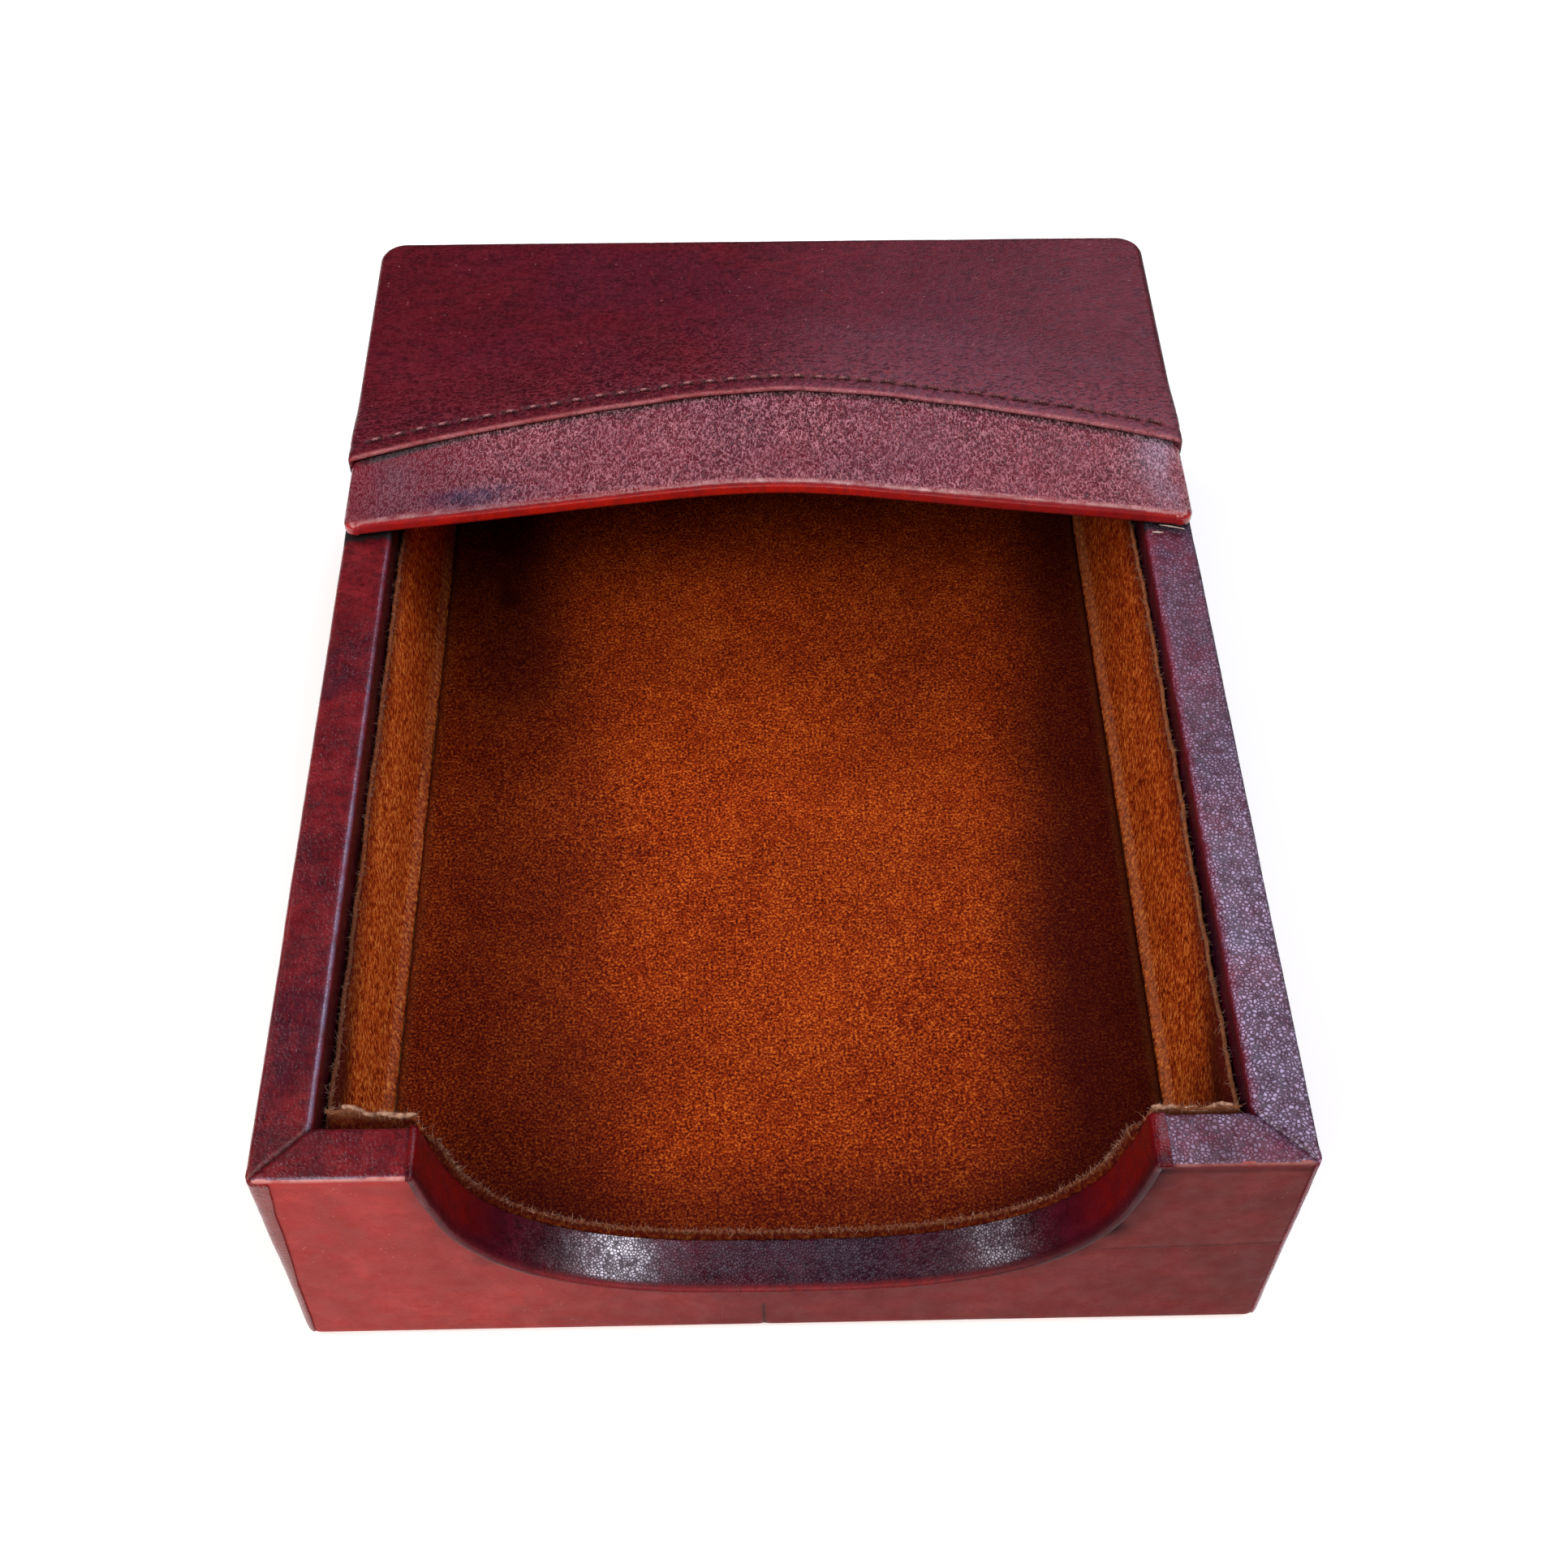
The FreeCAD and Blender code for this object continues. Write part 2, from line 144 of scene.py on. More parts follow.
def thick_sheet(V, F, t, K=3, bulge=1.0):
    """A closed sheet from its outer surface: V and outward quads F, thickness t below it, with rounded edges."""
    N = len(V)
    t = np.broadcast_to(np.asarray(t, float), (N,))
    VN = normals(V, F)
    e = np.concatenate([F[:, [k, (k + 1) % 4]] for k in range(4)])
    key = np.sort(e, 1)
    key = key[:, 0] * 10 ** 7 + key[:, 1]
    _, inv, cnt = np.unique(key, return_inverse=True, return_counts=True)
    e = e[cnt[inv] == 1]
    o = unit(np.cross(V[e[:, 1]] - V[e[:, 0]], VN[e[:, 0]] + VN[e[:, 1]]))
    out = np.zeros_like(V)
    for k in (0, 1):
        for c in range(3):
            out[:, c] += np.bincount(e[:, k], o[:, c], N)
    bv = np.unique(e)
    where = -np.ones(N, int)
    where[bv] = np.arange(len(bv))
    oo = out[bv] - VN[bv] * (out[bv] * VN[bv]).sum(-1, keepdims=True)
    oo = unit(oo)
    C = V[bv] - VN[bv] * (t[bv] / 2)[:, None]
    levels = [V, V - VN * t[:, None]]
    chain = []
    for k in range(1, K + 1):
        a = math.pi * k / (K + 1)
        chain.append(C + VN[bv] * (t[bv] / 2 * math.cos(a))[:, None] + oo * (t[bv] / 2 * bulge * math.sin(a))[:, None])
    allV = np.concatenate(levels + chain)
    faces = [F, F[:, ::-1] + N]

    def level(v, l):
        if l == 0:
            return v
        if l == K + 1:
            return v + N
        return 2 * N + (l - 1) * len(bv) + where[v]

    for l in range(K + 1):
        faces.append(np.stack([level(e[:, 1], l), level(e[:, 0], l), level(e[:, 0], l + 1), level(e[:, 1], l + 1)], -1))
    return allV, np.concatenate(faces)


def tube(rings, closed_ends=True):
    """A closed tube from rings (n stations, m section points, 3)."""
    n, m = rings.shape[:2]
    i = np.arange(n - 1)[:, None] * m
    j = np.arange(m)[None, :]
    k = (j + 1) % m
    F = np.stack([i + j, i + k, i + m + k, i + m + j], -1).reshape(-1, 4)
    faces = F.tolist()
    if closed_ends:
        faces.append(list(range(m))[::-1])
        faces.append([(n - 1) * m + x for x in range(m)])
    return rings.reshape(-1, 3), faces


def build(name, parts, mats, nodes=(), sharp=40.0, merge=0.0, recalc=True, attrs=None):
    """One object from parts (V in mm, faces, material index)."""
    verts, faces, mi, off = [], [], [], 0
    for V, F, k in parts:
        verts.append(np.asarray(V, float))
        F = F.tolist() if isinstance(F, np.ndarray) else F
        faces.extend([[x + off for x in f] for f in F] if off else F)
        mi.extend([k] * len(F))
        off += len(V)
    V = np.concatenate(verts) * MM
    me = bpy.data.meshes.new(name)
    me.from_pydata(V.tolist(), [], faces)
    me.polygons.foreach_set("material_index", np.array(mi, np.int32))
    me.update()
    if merge or recalc:
        bm = bmesh.new()
        bm.from_mesh(me)
        if merge:
            bmesh.ops.remove_doubles(bm, verts=bm.verts, dist=merge * MM)
            bmesh.ops.dissolve_degenerate(bm, edges=bm.edges, dist=1e-6)
        bmesh.ops.recalc_face_normals(bm, faces=bm.faces)
        bm.to_mesh(me)
        bm.free()
    me.polygons.foreach_set("use_smooth", np.ones(len(me.polygons), bool))
    me.set_sharp_from_angle(angle=math.radians(sharp))
    for m in mats:
        me.materials.append(m)
    ob = bpy.data.objects.new(name, me)
    bpy.context.scene.collection.objects.link(ob)
    if attrs:
        paint(ob, attrs)
    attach(ob, "root")
    if nodes:
        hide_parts(*nodes)
    return ob


def paint(ob, attrs):
    """Point attributes from functions of the position in mm."""
    me = ob.data
    co = np.zeros(len(me.vertices) * 3)
    me.vertices.foreach_get("co", co)
    P = co.reshape(-1, 3) / MM
    for name, f in attrs.items():
        a = me.attributes.get(name) or me.attributes.new(name, "FLOAT", "POINT")
        a.data.foreach_set("value", np.asarray(np.broadcast_to(f(P), (len(P),)), np.float32))


def fibres(roots, dirs, lengths, radius, seed, curl=0.6, rings=4, lean=None):
    """Short loose fibres, each a thin three-sided tube that tapers to its tip."""
    rng = np.random.default_rng(seed)
    n = len(roots)
    d = unit(np.asarray(dirs, float) + rng.normal(0, 0.28, (n, 3)))
    side = unit(np.cross(d, rng.normal(0, 1, (n, 3))))
    up = np.cross(side, d)
    bend = rng.normal(0, curl, (n, 2))
    L = np.asarray(lengths, float)
    r0 = np.asarray(radius, float) * np.ones(n)
    V = np.zeros((n, rings, 3, 3))
    for k in range(rings):
        t = k / (rings - 1)
        c = roots + d * (L * t)[:, None] + side * (bend[:, 0] * L * t * t)[:, None] + up * (bend[:, 1] * L * t ** 1.7)[:, None]
        if lean is not None:
            c = c + np.asarray(lean) * (L * t * t)[:, None]
        r = r0 * (1 - 0.8 * t)
        for s in range(3):
            a = 2 * math.pi * s / 3 + k * 0.4
            V[:, k, s] = c + (side * math.cos(a) + up * math.sin(a)) * r[:, None]
    base = np.arange(n)[:, None] * rings * 3
    F = []
    for k in range(rings - 1):
        for s in range(3):
            q = (s + 1) % 3
            F.append(base + np.array([[k * 3 + s, k * 3 + q, k * 3 + 3 + q, k * 3 + 3 + s]]))
    quads = np.concatenate(F).tolist()
    caps = np.concatenate([base + np.array([[2, 1, 0]]), base + np.array([[(rings - 1) * 3, (rings - 1) * 3 + 1, (rings - 1) * 3 + 2]])]).tolist()
    return V.reshape(-1, 3), quads + caps


# ------------------------------------------------------------------ materials
def lin(h):
    h = h.lstrip("#")
    c = [int(h[i:i + 2], 16) / 255 for i in (0, 2, 4)]
    return tuple(x / 12.92 if x <= 0.04045 else ((x + 0.055) / 1.055) ** 2.4 for x in c) + (1.0,)


class Nodes:
    def __init__(self, name):
        self.mat = bpy.data.materials.new(name)
        self.mat.use_nodes = True
        self.t = self.mat.node_tree
        self.t.nodes.clear()
        self.out = self.add("ShaderNodeOutputMaterial")
        self.co = self.add("ShaderNodeTexCoord").outputs["Object"]

    def add(self, kind, inputs=None, **props):
        n = self.t.nodes.new(kind)
        for k, v in props.items():
            setattr(n, k, v)
        for k, v in (inputs or {}).items():
            if isinstance(v, bpy.types.NodeSocket):
                self.t.links.new(v, n.inputs[k])
            else:
                n.inputs[k].default_value = v
        return n

    def scaled(self, size, rot=(0, 0, 0), src=None):
        """Coordinates in units of size mm."""
        s = size if isinstance(size, (tuple, list)) else (size,) * 3
        return self.add("ShaderNodeMapping", {"Vector": src or self.co, "Rotation": rot, "Scale": tuple(1000.0 / x for x in s)}).outputs[0]

    def noise(self, size, detail=3.0, rough=0.55, dist=0.0, rot=(0, 0, 0), src=None):
        return self.add("ShaderNodeTexNoise", {"Vector": self.scaled(size, rot, src), "Scale": 1.0, "Detail": detail, "Roughness": rough, "Distortion": dist}).outputs["Fac"]

    def voronoi(self, size, feature="F1", rand=1.0, rot=(0, 0, 0), src=None, out="Distance"):
        return self.add("ShaderNodeTexVoronoi", {"Vector": self.scaled(size, rot, src), "Scale": 1.0, "Randomness": rand}, feature=feature).outputs[out]

    def ramp(self, fac, stops, mode="LINEAR"):
        n = self.add("ShaderNodeValToRGB", {"Fac": fac})
        r = n.color_ramp
        r.interpolation = mode
        while len(r.elements) > 1:
            r.elements.remove(r.elements[-1])
        r.elements[0].position, r.elements[0].color = stops[0][0], stops[0][1]
        for p, c in stops[1:]:
            e = r.elements.new(p)
            e.color = c
        return n.outputs["Color"]

    def rng(self, v, a, b, c, d, smooth=True):
        n = self.add("ShaderNodeMapRange", {"Value": v, "From Min": a, "From Max": b, "To Min": c, "To Max": d})
        n.interpolation_type = "SMOOTHSTEP" if smooth else "LINEAR"
        return n.outputs["Result"]

    def math(self, op, a, b=0.0, c=0.0, clamp=False):
        return self.add("ShaderNodeMath", {0: a, 1: b, 2: c}, operation=op, use_clamp=clamp).outputs[0]

    def mix(self, f, a, b, blend="MIX"):
        n = self.add("ShaderNodeMix", {0: f, 6: a, 7: b}, data_type="RGBA", blend_type=blend)
        return n.outputs[2]

    def attr(self, name):
        return self.add("ShaderNodeAttribute", attribute_name=name).outputs["Fac"]

    def xyz(self):
        return self.add("ShaderNodeSeparateXYZ", {0: self.co}).outputs

    def bump(self, height, dist_mm, strength=1.0, normal=None):
        ins = {"Height": height, "Distance": dist_mm * MM, "Strength": strength}
        if normal is not None:
            ins["Normal"] = normal
        return self.add("ShaderNodeBump", ins).outputs[0]

    def finish(self, **ins):
        p = self.add("ShaderNodeBsdfPrincipled", {k.replace("_", " "): v for k, v in ins.items()})
        self.t.links.new(p.outputs[0], self.out.inputs["Surface"])
        return self.mat


def leather(name, deep, mid, high, red, grain=0.62, grain_mm=0.030, crinkle=0.0, crinkle_size=(0.62, 2.0, 2.0), crinkle_rot=(0, 0, 0.12),
            rough=(0.34, 0.52), coat=0.12, mottle=7.0, specks=0.0, spec=0.5, purple=None, streak=None, red_amt=1.0, edge_highlight_col="#b9838a", crest_highlight=None,
            valley_shade=None, fleck=None, weave=0.0, pebble=0.0, painted_highlight_col="#9a8ca0", marks=False, sheen_veil=None, painted_blue_reflection=None):
    """Dyed leather: mottled colour, worn redder where the wear attribute is high, cell grain and fine wrinkles."""
    n = Nodes(name)
    big = n.noise(mottle, 4.0, 0.62, 0.4)
    col = n.ramp(big, [(0.34, lin(deep)), (0.52, lin(mid)), (0.70, lin(high))])
    patch = n.noise(mottle * 2.7, 3.0, 0.55, 0.6)
    if purple:
        col = n.mix(n.rng(patch, 0.47, 0.66, 0.0, 0.85), col, lin(purple))
    if weave:
        # short soft streaks along and across the hide
        col = n.mix(n.rng(n.noise((3.0, 1.3, 1.3), 3.0, 0.6, 0.3), 0.47, 0.62, 0.0, weave), col, lin(fleck or deep))
        col = n.mix(n.rng(n.noise((0.9, 2.6, 2.6), 3.0, 0.6, 0.3), 0.50, 0.66, 0.0, weave * 0.8), col, lin(high))
    fine = n.noise(0.8, 4.0, 0.65)
    col = n.mix(n.rng(fine, 0.50, 0.66, 0.0, 0.55), col, lin(fleck or deep))
    col = n.mix(n.rng(n.noise(0.55, 3.0, 0.6, 0.6), 0.55, 0.70, 0.0, 0.40), col, lin(high))
    if streak:
        st = n.noise((26.0, 26.0, 1.3), 4.0, 0.6, 0.3)
        col = n.mix(n.rng(st, 0.52, 0.68, 0.0, streak), col, lin(deep))
    if specks:
        sp = n.voronoi(1.35)
        sparse = n.rng(n.noise(3.4, 2.0, 0.5), 0.50, 0.62, 0.0, 1.0)
        col = n.mix(n.math("MULTIPLY", n.rng(sp, 0.0, 0.15, specks, 0.0), sparse), col, lin("#e09a90"))
    wear = n.math("MULTIPLY", n.attr("wear"), n.rng(n.noise(1.6, 3.0, 0.6), 0.32, 0.62, 0.55, 1.0))
    col = n.mix(n.math("MULTIPLY", wear, red_amt, clamp=True), col, lin(red))
    if sheen_veil:
        # painted sheen: a pale bluish bloom of colour that stands for reflected light
        col = n.mix(n.math("MULTIPLY", n.attr("sheen_veil"), n.rng(n.noise(1.1, 4.0, 0.65), 0.35, 0.65, 0.6, 1.0)), col, lin(sheen_veil))
    # painted reflection: a dark bluish patch of colour, placed by an attribute
    if painted_blue_reflection:
        col = n.mix(n.math("MULTIPLY", n.attr("painted_blue_reflection"), n.rng(n.noise(1.0, 3.0, 0.6), 0.35, 0.6, 0.75, 1.0)), col, lin(painted_blue_reflection))
    # painted shade: the dark attribute takes the colour towards near black (it also darkens the mitre seams)
    dark = n.attr("dark")
    col = n.mix(dark, col, (0.010, 0.003, 0.005, 1.0))
    # painted highlight: along the edges the colour goes paler in a thin line that stands for reflected light; the
    # burnished edges are also smoother
    edge = n.math("MULTIPLY", n.attr("edge"), n.rng(n.noise((2.4, 2.4, 2.4), 3.0, 0.6), 0.35, 0.6, 0.45, 1.0))
    col = n.mix(n.math("MULTIPLY", edge, 0.62), col, lin(edge_highlight_col))
    # grain: cells with soft valleys, broken up by noise
    warp = n.add("ShaderNodeVectorMath", {0: n.co, 1: n.add("ShaderNodeVectorMath", {0: n.add("ShaderNodeTexNoise", {"Vector": n.scaled(1.1), "Scale": 1.0, "Detail": 2.0}).outputs["Color"], 1: (0.00035, 0.00035, 0.00035)}, operation="MULTIPLY").outputs[0]}, operation="ADD").outputs[0]
    cells = n.voronoi(grain, "DISTANCE_TO_EDGE", src=warp)
    if pebble:
        # dye sits in the valleys, darker where the sheen attribute is high, which is partly painted shade; the pale
        # tops of the pebbles are a painted highlight that stands for reflected light
        painted_sheen = n.attr("painted_sheen")
        col = n.mix(n.math("MULTIPLY", n.rng(cells, 0.02, 0.16, pebble, 0.0), n.math("MULTIPLY_ADD", painted_sheen, 0.7, 0.3)), col, lin(fleck or deep))
        tops = n.math("MULTIPLY", n.rng(cells, 0.06, 0.30, 0.08, pebble), n.rng(n.noise(1.5, 3.0, 0.65), 0.36, 0.60, 0.35, 1.0))
        col = n.mix(n.math("MULTIPLY", tops, painted_sheen), col, lin(painted_highlight_col))
    if marks:
        # a fine crease across the right part of the face, darkened in colour as painted shade, and a nick below the
        # scoop
        x, _, z = n.xyz()
        wob = n.math("MULTIPLY_ADD", n.noise(6.0, 3.0, 0.5), 0.0009, -0.00045)
        zc = n.math("ADD", n.math("MULTIPLY_ADD", x, 0.035, 0.0200), wob)
        m1 = n.math("MULTIPLY", n.rng(n.math("ABSOLUTE", n.math("SUBTRACT", z, zc)), 0.00004, 0.00030, 0.55, 0.0), n.rng(x, 0.0375, 0.0415, 0.0, 1.0))
        m2 = n.math("MULTIPLY", n.rng(n.math("ABSOLUTE", n.math("ADD", n.math("ADD", x, 0.0026), wob)), 0.00006, 0.00036, 0.75, 0.0), n.rng(z, 0.0080, 0.0068, 0.0, 1.0))
        col = n.mix(n.math("MAXIMUM", m1, m2), col, (0.02, 0.004, 0.004, 1.0))
    cells = n.rng(cells, 0.0, 0.26, 0.0, 1.0)
    pores = n.noise(0.28, 2.0, 0.6)
    amt = n.rng(n.noise(9.0, 2.0, 0.5), 0.3, 0.7, 0.45, 1.0)
    h = n.math("ADD", n.math("MULTIPLY", cells, 0.75), n.math("MULTIPLY", pores, 0.45))
    normal = n.bump(n.math("MULTIPLY", h, amt), grain_mm, 1.0)
    if crinkle:
        c1 = n.noise(crinkle_size, 1.6, 0.5, 0.35, rot=crinkle_rot)
        c2 = n.noise(tuple(x * 0.6 for x in crinkle_size), 1.5, 0.5, 0.35, rot=tuple(-2.2 * x for x in crinkle_rot))
        ridge = n.math("SUBTRACT", 1.0, n.math("ABSOLUTE", n.math("MULTIPLY_ADD", c1, 2.0, -1.0)))
        ridge2 = n.math("SUBTRACT", 1.0, n.math("ABSOLUTE", n.math("MULTIPLY_ADD", c2, 2.0, -1.0)))
        cr = n.math("ADD", n.math("POWER", ridge, 4.0), n.math("MULTIPLY", n.math("POWER", ridge2, 3.0), 0.45))
        cam = n.attr("crinkle")
        normal = n.bump(n.math("MULTIPLY", cr, cam), crinkle, 1.0, normal)
        # painted highlight on the wrinkle crests and painted shade in their valleys
        ridge_highlight = n.math("MULTIPLY", n.rng(ridge, 0.85, 0.98, 0.0, 0.70), n.rng(n.noise(2.6, 2.0, 0.6), 0.35, 0.62, 0.72, 1.0))
        col = n.mix(n.math("MULTIPLY", n.rng(ridge, 0.84, 0.66, 0.0, 0.60), cam), col, lin(valley_shade or deep))
        col = n.mix(n.math("MULTIPLY", n.rng(ridge2, 0.84, 0.66, 0.0, 0.25), cam), col, lin(valley_shade or deep))
        col = n.mix(n.math("MULTIPLY", ridge_highlight, cam), col, lin(crest_highlight or high))
        if painted_blue_reflection:
            # painted highlight: the wrinkle crests go pale where the sheen attribute is high
            sheen = n.math("MULTIPLY", n.attr("painted_sheen"), n.rng(n.math("MAXIMUM", ridge, n.math("MULTIPLY", ridge2, 0.97)), 0.78, 0.97, 0.14, 0.85))
            col = n.mix(sheen, col, lin(painted_highlight_col))
    r = n.rng(n.noise(3.2, 3.0, 0.6), 0.3, 0.7, rough[0], rough[1])
    r = n.math("MULTIPLY", r, n.math("MULTIPLY_ADD", edge, -0.4, 1.0))
    r = n.math("ADD", r, n.math("MULTIPLY", n.math("POWER", dark, 3.0), 0.5), clamp=True)
    r = n.math("ADD", r, n.math("MULTIPLY", n.attr("matte"), 0.3), clamp=True)
    return n.finish(Base_Color=col, Roughness=r, Normal=normal, Coat_Weight=coat, Coat_Roughness=0.25, Specular_IOR_Level=spec)


def velveteen(name, dark, mid, light, speck, tan, sheen=0.35, size=0.37):
    """Short speckled pile. The shade attribute runs from 0 (light) to 1 (dark): painted shade, and on the floor also a
    dark spot; raw is the cut edge, where tan backing shows.
    """
    n = Nodes(name)
    a = n.noise(size, 2.0, 0.7)
    b = n.noise(1.3, 3.0, 0.6)
    c = n.noise(13.0, 3.0, 0.55, 0.5)
    f = n.math("ADD", n.math("MULTIPLY", a, 0.76), n.math("ADD", n.math("MULTIPLY", b, 0.15), n.math("MULTIPLY", c, 0.09)))
    col = n.ramp(f, [(0.39, lin(dark)), (0.47, lin(mid)), (0.55, lin(light)), (0.62, lin(speck))])
    col = n.mix(n.attr("painted_shade_and_spot"), col, n.mix(0.11, (0.022, 0.0005, 0.0010, 1.0), col))
    col = n.mix(n.math("MULTIPLY", n.attr("tint"), 0.8), col, lin("#5c1810"))
    col = n.mix(n.math("MULTIPLY", n.attr("raw"), n.rng(n.noise(0.7, 3.0, 0.6), 0.3, 0.6, 0.55, 1.0)), col, lin(tan))
    cell = n.voronoi(0.34)
    h = n.math("ADD", n.math("MULTIPLY", a, 0.8), n.math("MULTIPLY", cell, 0.6))
    normal = n.bump(h, 0.10, 1.0)
    return n.finish(Base_Color=col, Roughness=0.94, Normal=normal, Sheen_Weight=sheen, Sheen_Roughness=0.45,
                    Sheen_Tint=(1.0, 0.42, 0.16, 1.0), Specular_IOR_Level=0.06)


def fibre_mat(name, a, b):
    n = Nodes(name)
    col = n.ramp(n.noise(0.8, 2.0, 0.6), [(0.3, lin(a)), (0.7, lin(b))])
    return n.finish(Base_Color=col, Roughness=0.85, Specular_IOR_Level=0.25, Normal=n.bump(n.noise(0.2, 2.0), 0.02))


def board(name, a, b, grain=0.5):
    n = Nodes(name)
    f = n.noise(grain, 4.0, 0.65)
    g = n.voronoi((0.5, 1.6, 0.5))
    col = n.ramp(n.math("ADD", n.math("MULTIPLY", f, 0.7), n.math("MULTIPLY", g, 0.35)), [(0.3, lin(a)), (0.65, lin(b))])
    return n.finish(Base_Color=col, Roughness=n.rng(f, 0.3, 0.7, 0.72, 0.9), Normal=n.bump(f, 0.05), Specular_IOR_Level=0.25)


def felt_mat(name):
    n = Nodes(name)
    f = n.noise((0.5, 1.4, 0.5), 4.0, 0.7, 1.2)
    g = n.noise((1.4, 0.5, 0.5), 4.0, 0.7, 1.4)
    col = n.ramp(n.math("MULTIPLY_ADD", f, 0.5, n.math("MULTIPLY", g, 0.5)), [(0.36, lin("#0d0b0c")), (0.55, lin("#2b2627")), (0.7, lin("#4b4243"))])
    return n.finish(Base_Color=col, Roughness=0.95, Sheen_Weight=0.4, Sheen_Roughness=0.5, Specular_IOR_Level=0.1,
                    Normal=n.bump(n.math("ADD", f, g), 0.10))


def steel_mat(name):
    n = Nodes(name)
    f = n.noise((0.15, 0.15, 2.5), 3.0, 0.6)
    col = n.ramp(f, [(0.3, lin("#8e8f92")), (0.7, lin("#c4c5c8"))])
    return n.finish(Base_Color=col, Metallic=1.0, Roughness=n.rng(f, 0.3, 0.7, 0.25, 0.42), Normal=n.bump(f, 0.01))


def thread_mat(name):
    n = Nodes(name)
    f = n.noise(0.35, 3.0, 0.6)
    col = n.ramp(f, [(0.3, lin("#2c0a10")), (0.5, lin("#48141c")), (0.72, lin("#6a242a"))])
    # painted highlight: the top of each stitch goes pale
    crest_highlight = n.attr("crest_highlight")
    col = n.mix(n.math("MULTIPLY", crest_highlight, 0.8), col, lin("#a86c6c"))
    return n.finish(Base_Color=col, Roughness=0.42, Normal=n.bump(n.noise((0.12, 0.12, 0.12), 2.0), 0.02), Specular_IOR_Level=0.5, Sheen_Weight=0.1)


M_RIM_L = leather("leather_rim_left", "#450a10", "#62121a", "#7a1d22", "#8e1f18", grain=0.60, grain_mm=0.040, rough=(0.22, 0.32), coat=0.0, spec=0.30, purple="#40101c", red_amt=0.6, edge_highlight_col="#8f86a6", fleck="#2c060c", weave=0.35)
# the right rims: the same leather with painted sheen, pale pebble tops where the sheen attribute is high
M_RIM_SHEEN = leather("leather_rim_painted_sheen", "#3c0a1a", "#541224", "#6a1a2e", "#86142a", grain=0.52, grain_mm=0.060, rough=(0.22, 0.31), coat=0.0, spec=0.23, purple="#38102c", red_amt=0.8, edge_highlight_col="#9c92b0",
                fleck="#1e040d", pebble=0.72, painted_highlight_col="#b4a2c6")
M_FRONT = leather("leather_front", "#90201c", "#9e2420", "#b02e28", "#b8241a", grain=0.55, grain_mm=0.014, rough=(0.36, 0.50), coat=0.0, spec=0.10, specks=0.45, streak=0.35, red_amt=0.7, edge_highlight_col="#e0b0ac", marks=True)
M_SIDE = leather("leather_side", "#4a1016", "#5e171b", "#702022", "#8e1f16", grain=0.65, grain_mm=0.035, rough=(0.32, 0.46), coat=0.0, spec=0.35, purple="#3e1320", red_amt=0.7)
M_STRIP = leather("leather_strip", "#28060f", "#3a0a17", "#4e0f1e", "#6c0808", grain=0.42, grain_mm=0.030, rough=(0.20, 0.26), coat=0.0, spec=0.18, mottle=9.0, purple="#220818", edge_highlight_col="#8e3840",
                  fleck="#14030b", pebble=1.0, painted_highlight_col="#f2eafa")
M_BAND = leather("leather_band", "#5e131d", "#6c1925", "#7a2430", "#c01a10", grain=0.5, grain_mm=0.014, crinkle=0.16, crinkle_size=(0.43, 1.15, 1.15), rough=(0.20, 0.30), coat=0.0, spec=0.6, mottle=12.0, purple="#5c1228", edge_highlight_col="#f0c6c8", crest_highlight="#d28c97", valley_shade="#320a13", fleck="#440c16", painted_highlight_col="#ccc4e2", painted_blue_reflection="#382740")
M_PANEL = leather("leather_panel", "#450b15", "#520f18", "#5e1620", "#9c1c18", grain=0.6, grain_mm=0.022, crinkle=0.07, crinkle_size=(1.2, 0.7, 1.2), crinkle_rot=(0, 0, -0.3), rough=(0.27, 0.34), coat=0.0, spec=0.14, mottle=16.0, purple="#480f20", red_amt=0.8, edge_highlight_col="#d08c92", specks=0.5, fleck="#2c0810", weave=0.55, crest_highlight="#7c3038", valley_shade="#340a12", sheen_veil="#84586a")
M_VELVET = velveteen("velveteen_floor", "#360801", "#762106", "#a03a0c", "#d66e24", "#7a4a26", sheen=0.0)
M_VELVET_WALL = velveteen("velveteen_wall", "#5a1304", "#a0370c", "#c85919", "#ee9040", "#9a6444", sheen=0.0, size=(0.46, 0.60, 0.80))
# painted light: the same velveteen in lighter colours for the left wall, which stands in stronger light
M_VELVET_LEFT_LIT = velveteen("velveteen_left_wall_lit", "#651604", "#b2400f", "#da6620", "#f8a250", "#7a4c38", sheen=0.0, size=(0.46, 0.60, 0.80))
M_FIBRE = fibre_mat("raw_fibre", "#60392c", "#ba9078")
M_PALE = fibre_mat("raw_leather_edge_and_glint", "#b89c92", "#ddc8c0")
M_THREAD = thread_mat("waxed_thread")
M_BOARD = board("fibreboard", "#7a5a38", "#b0885a")
M_CARD = board("grey_card", "#6e665c", "#9b9184")
M_FELT = felt_mat("dark_felt")
M_STEEL = steel_mat("brad_steel")


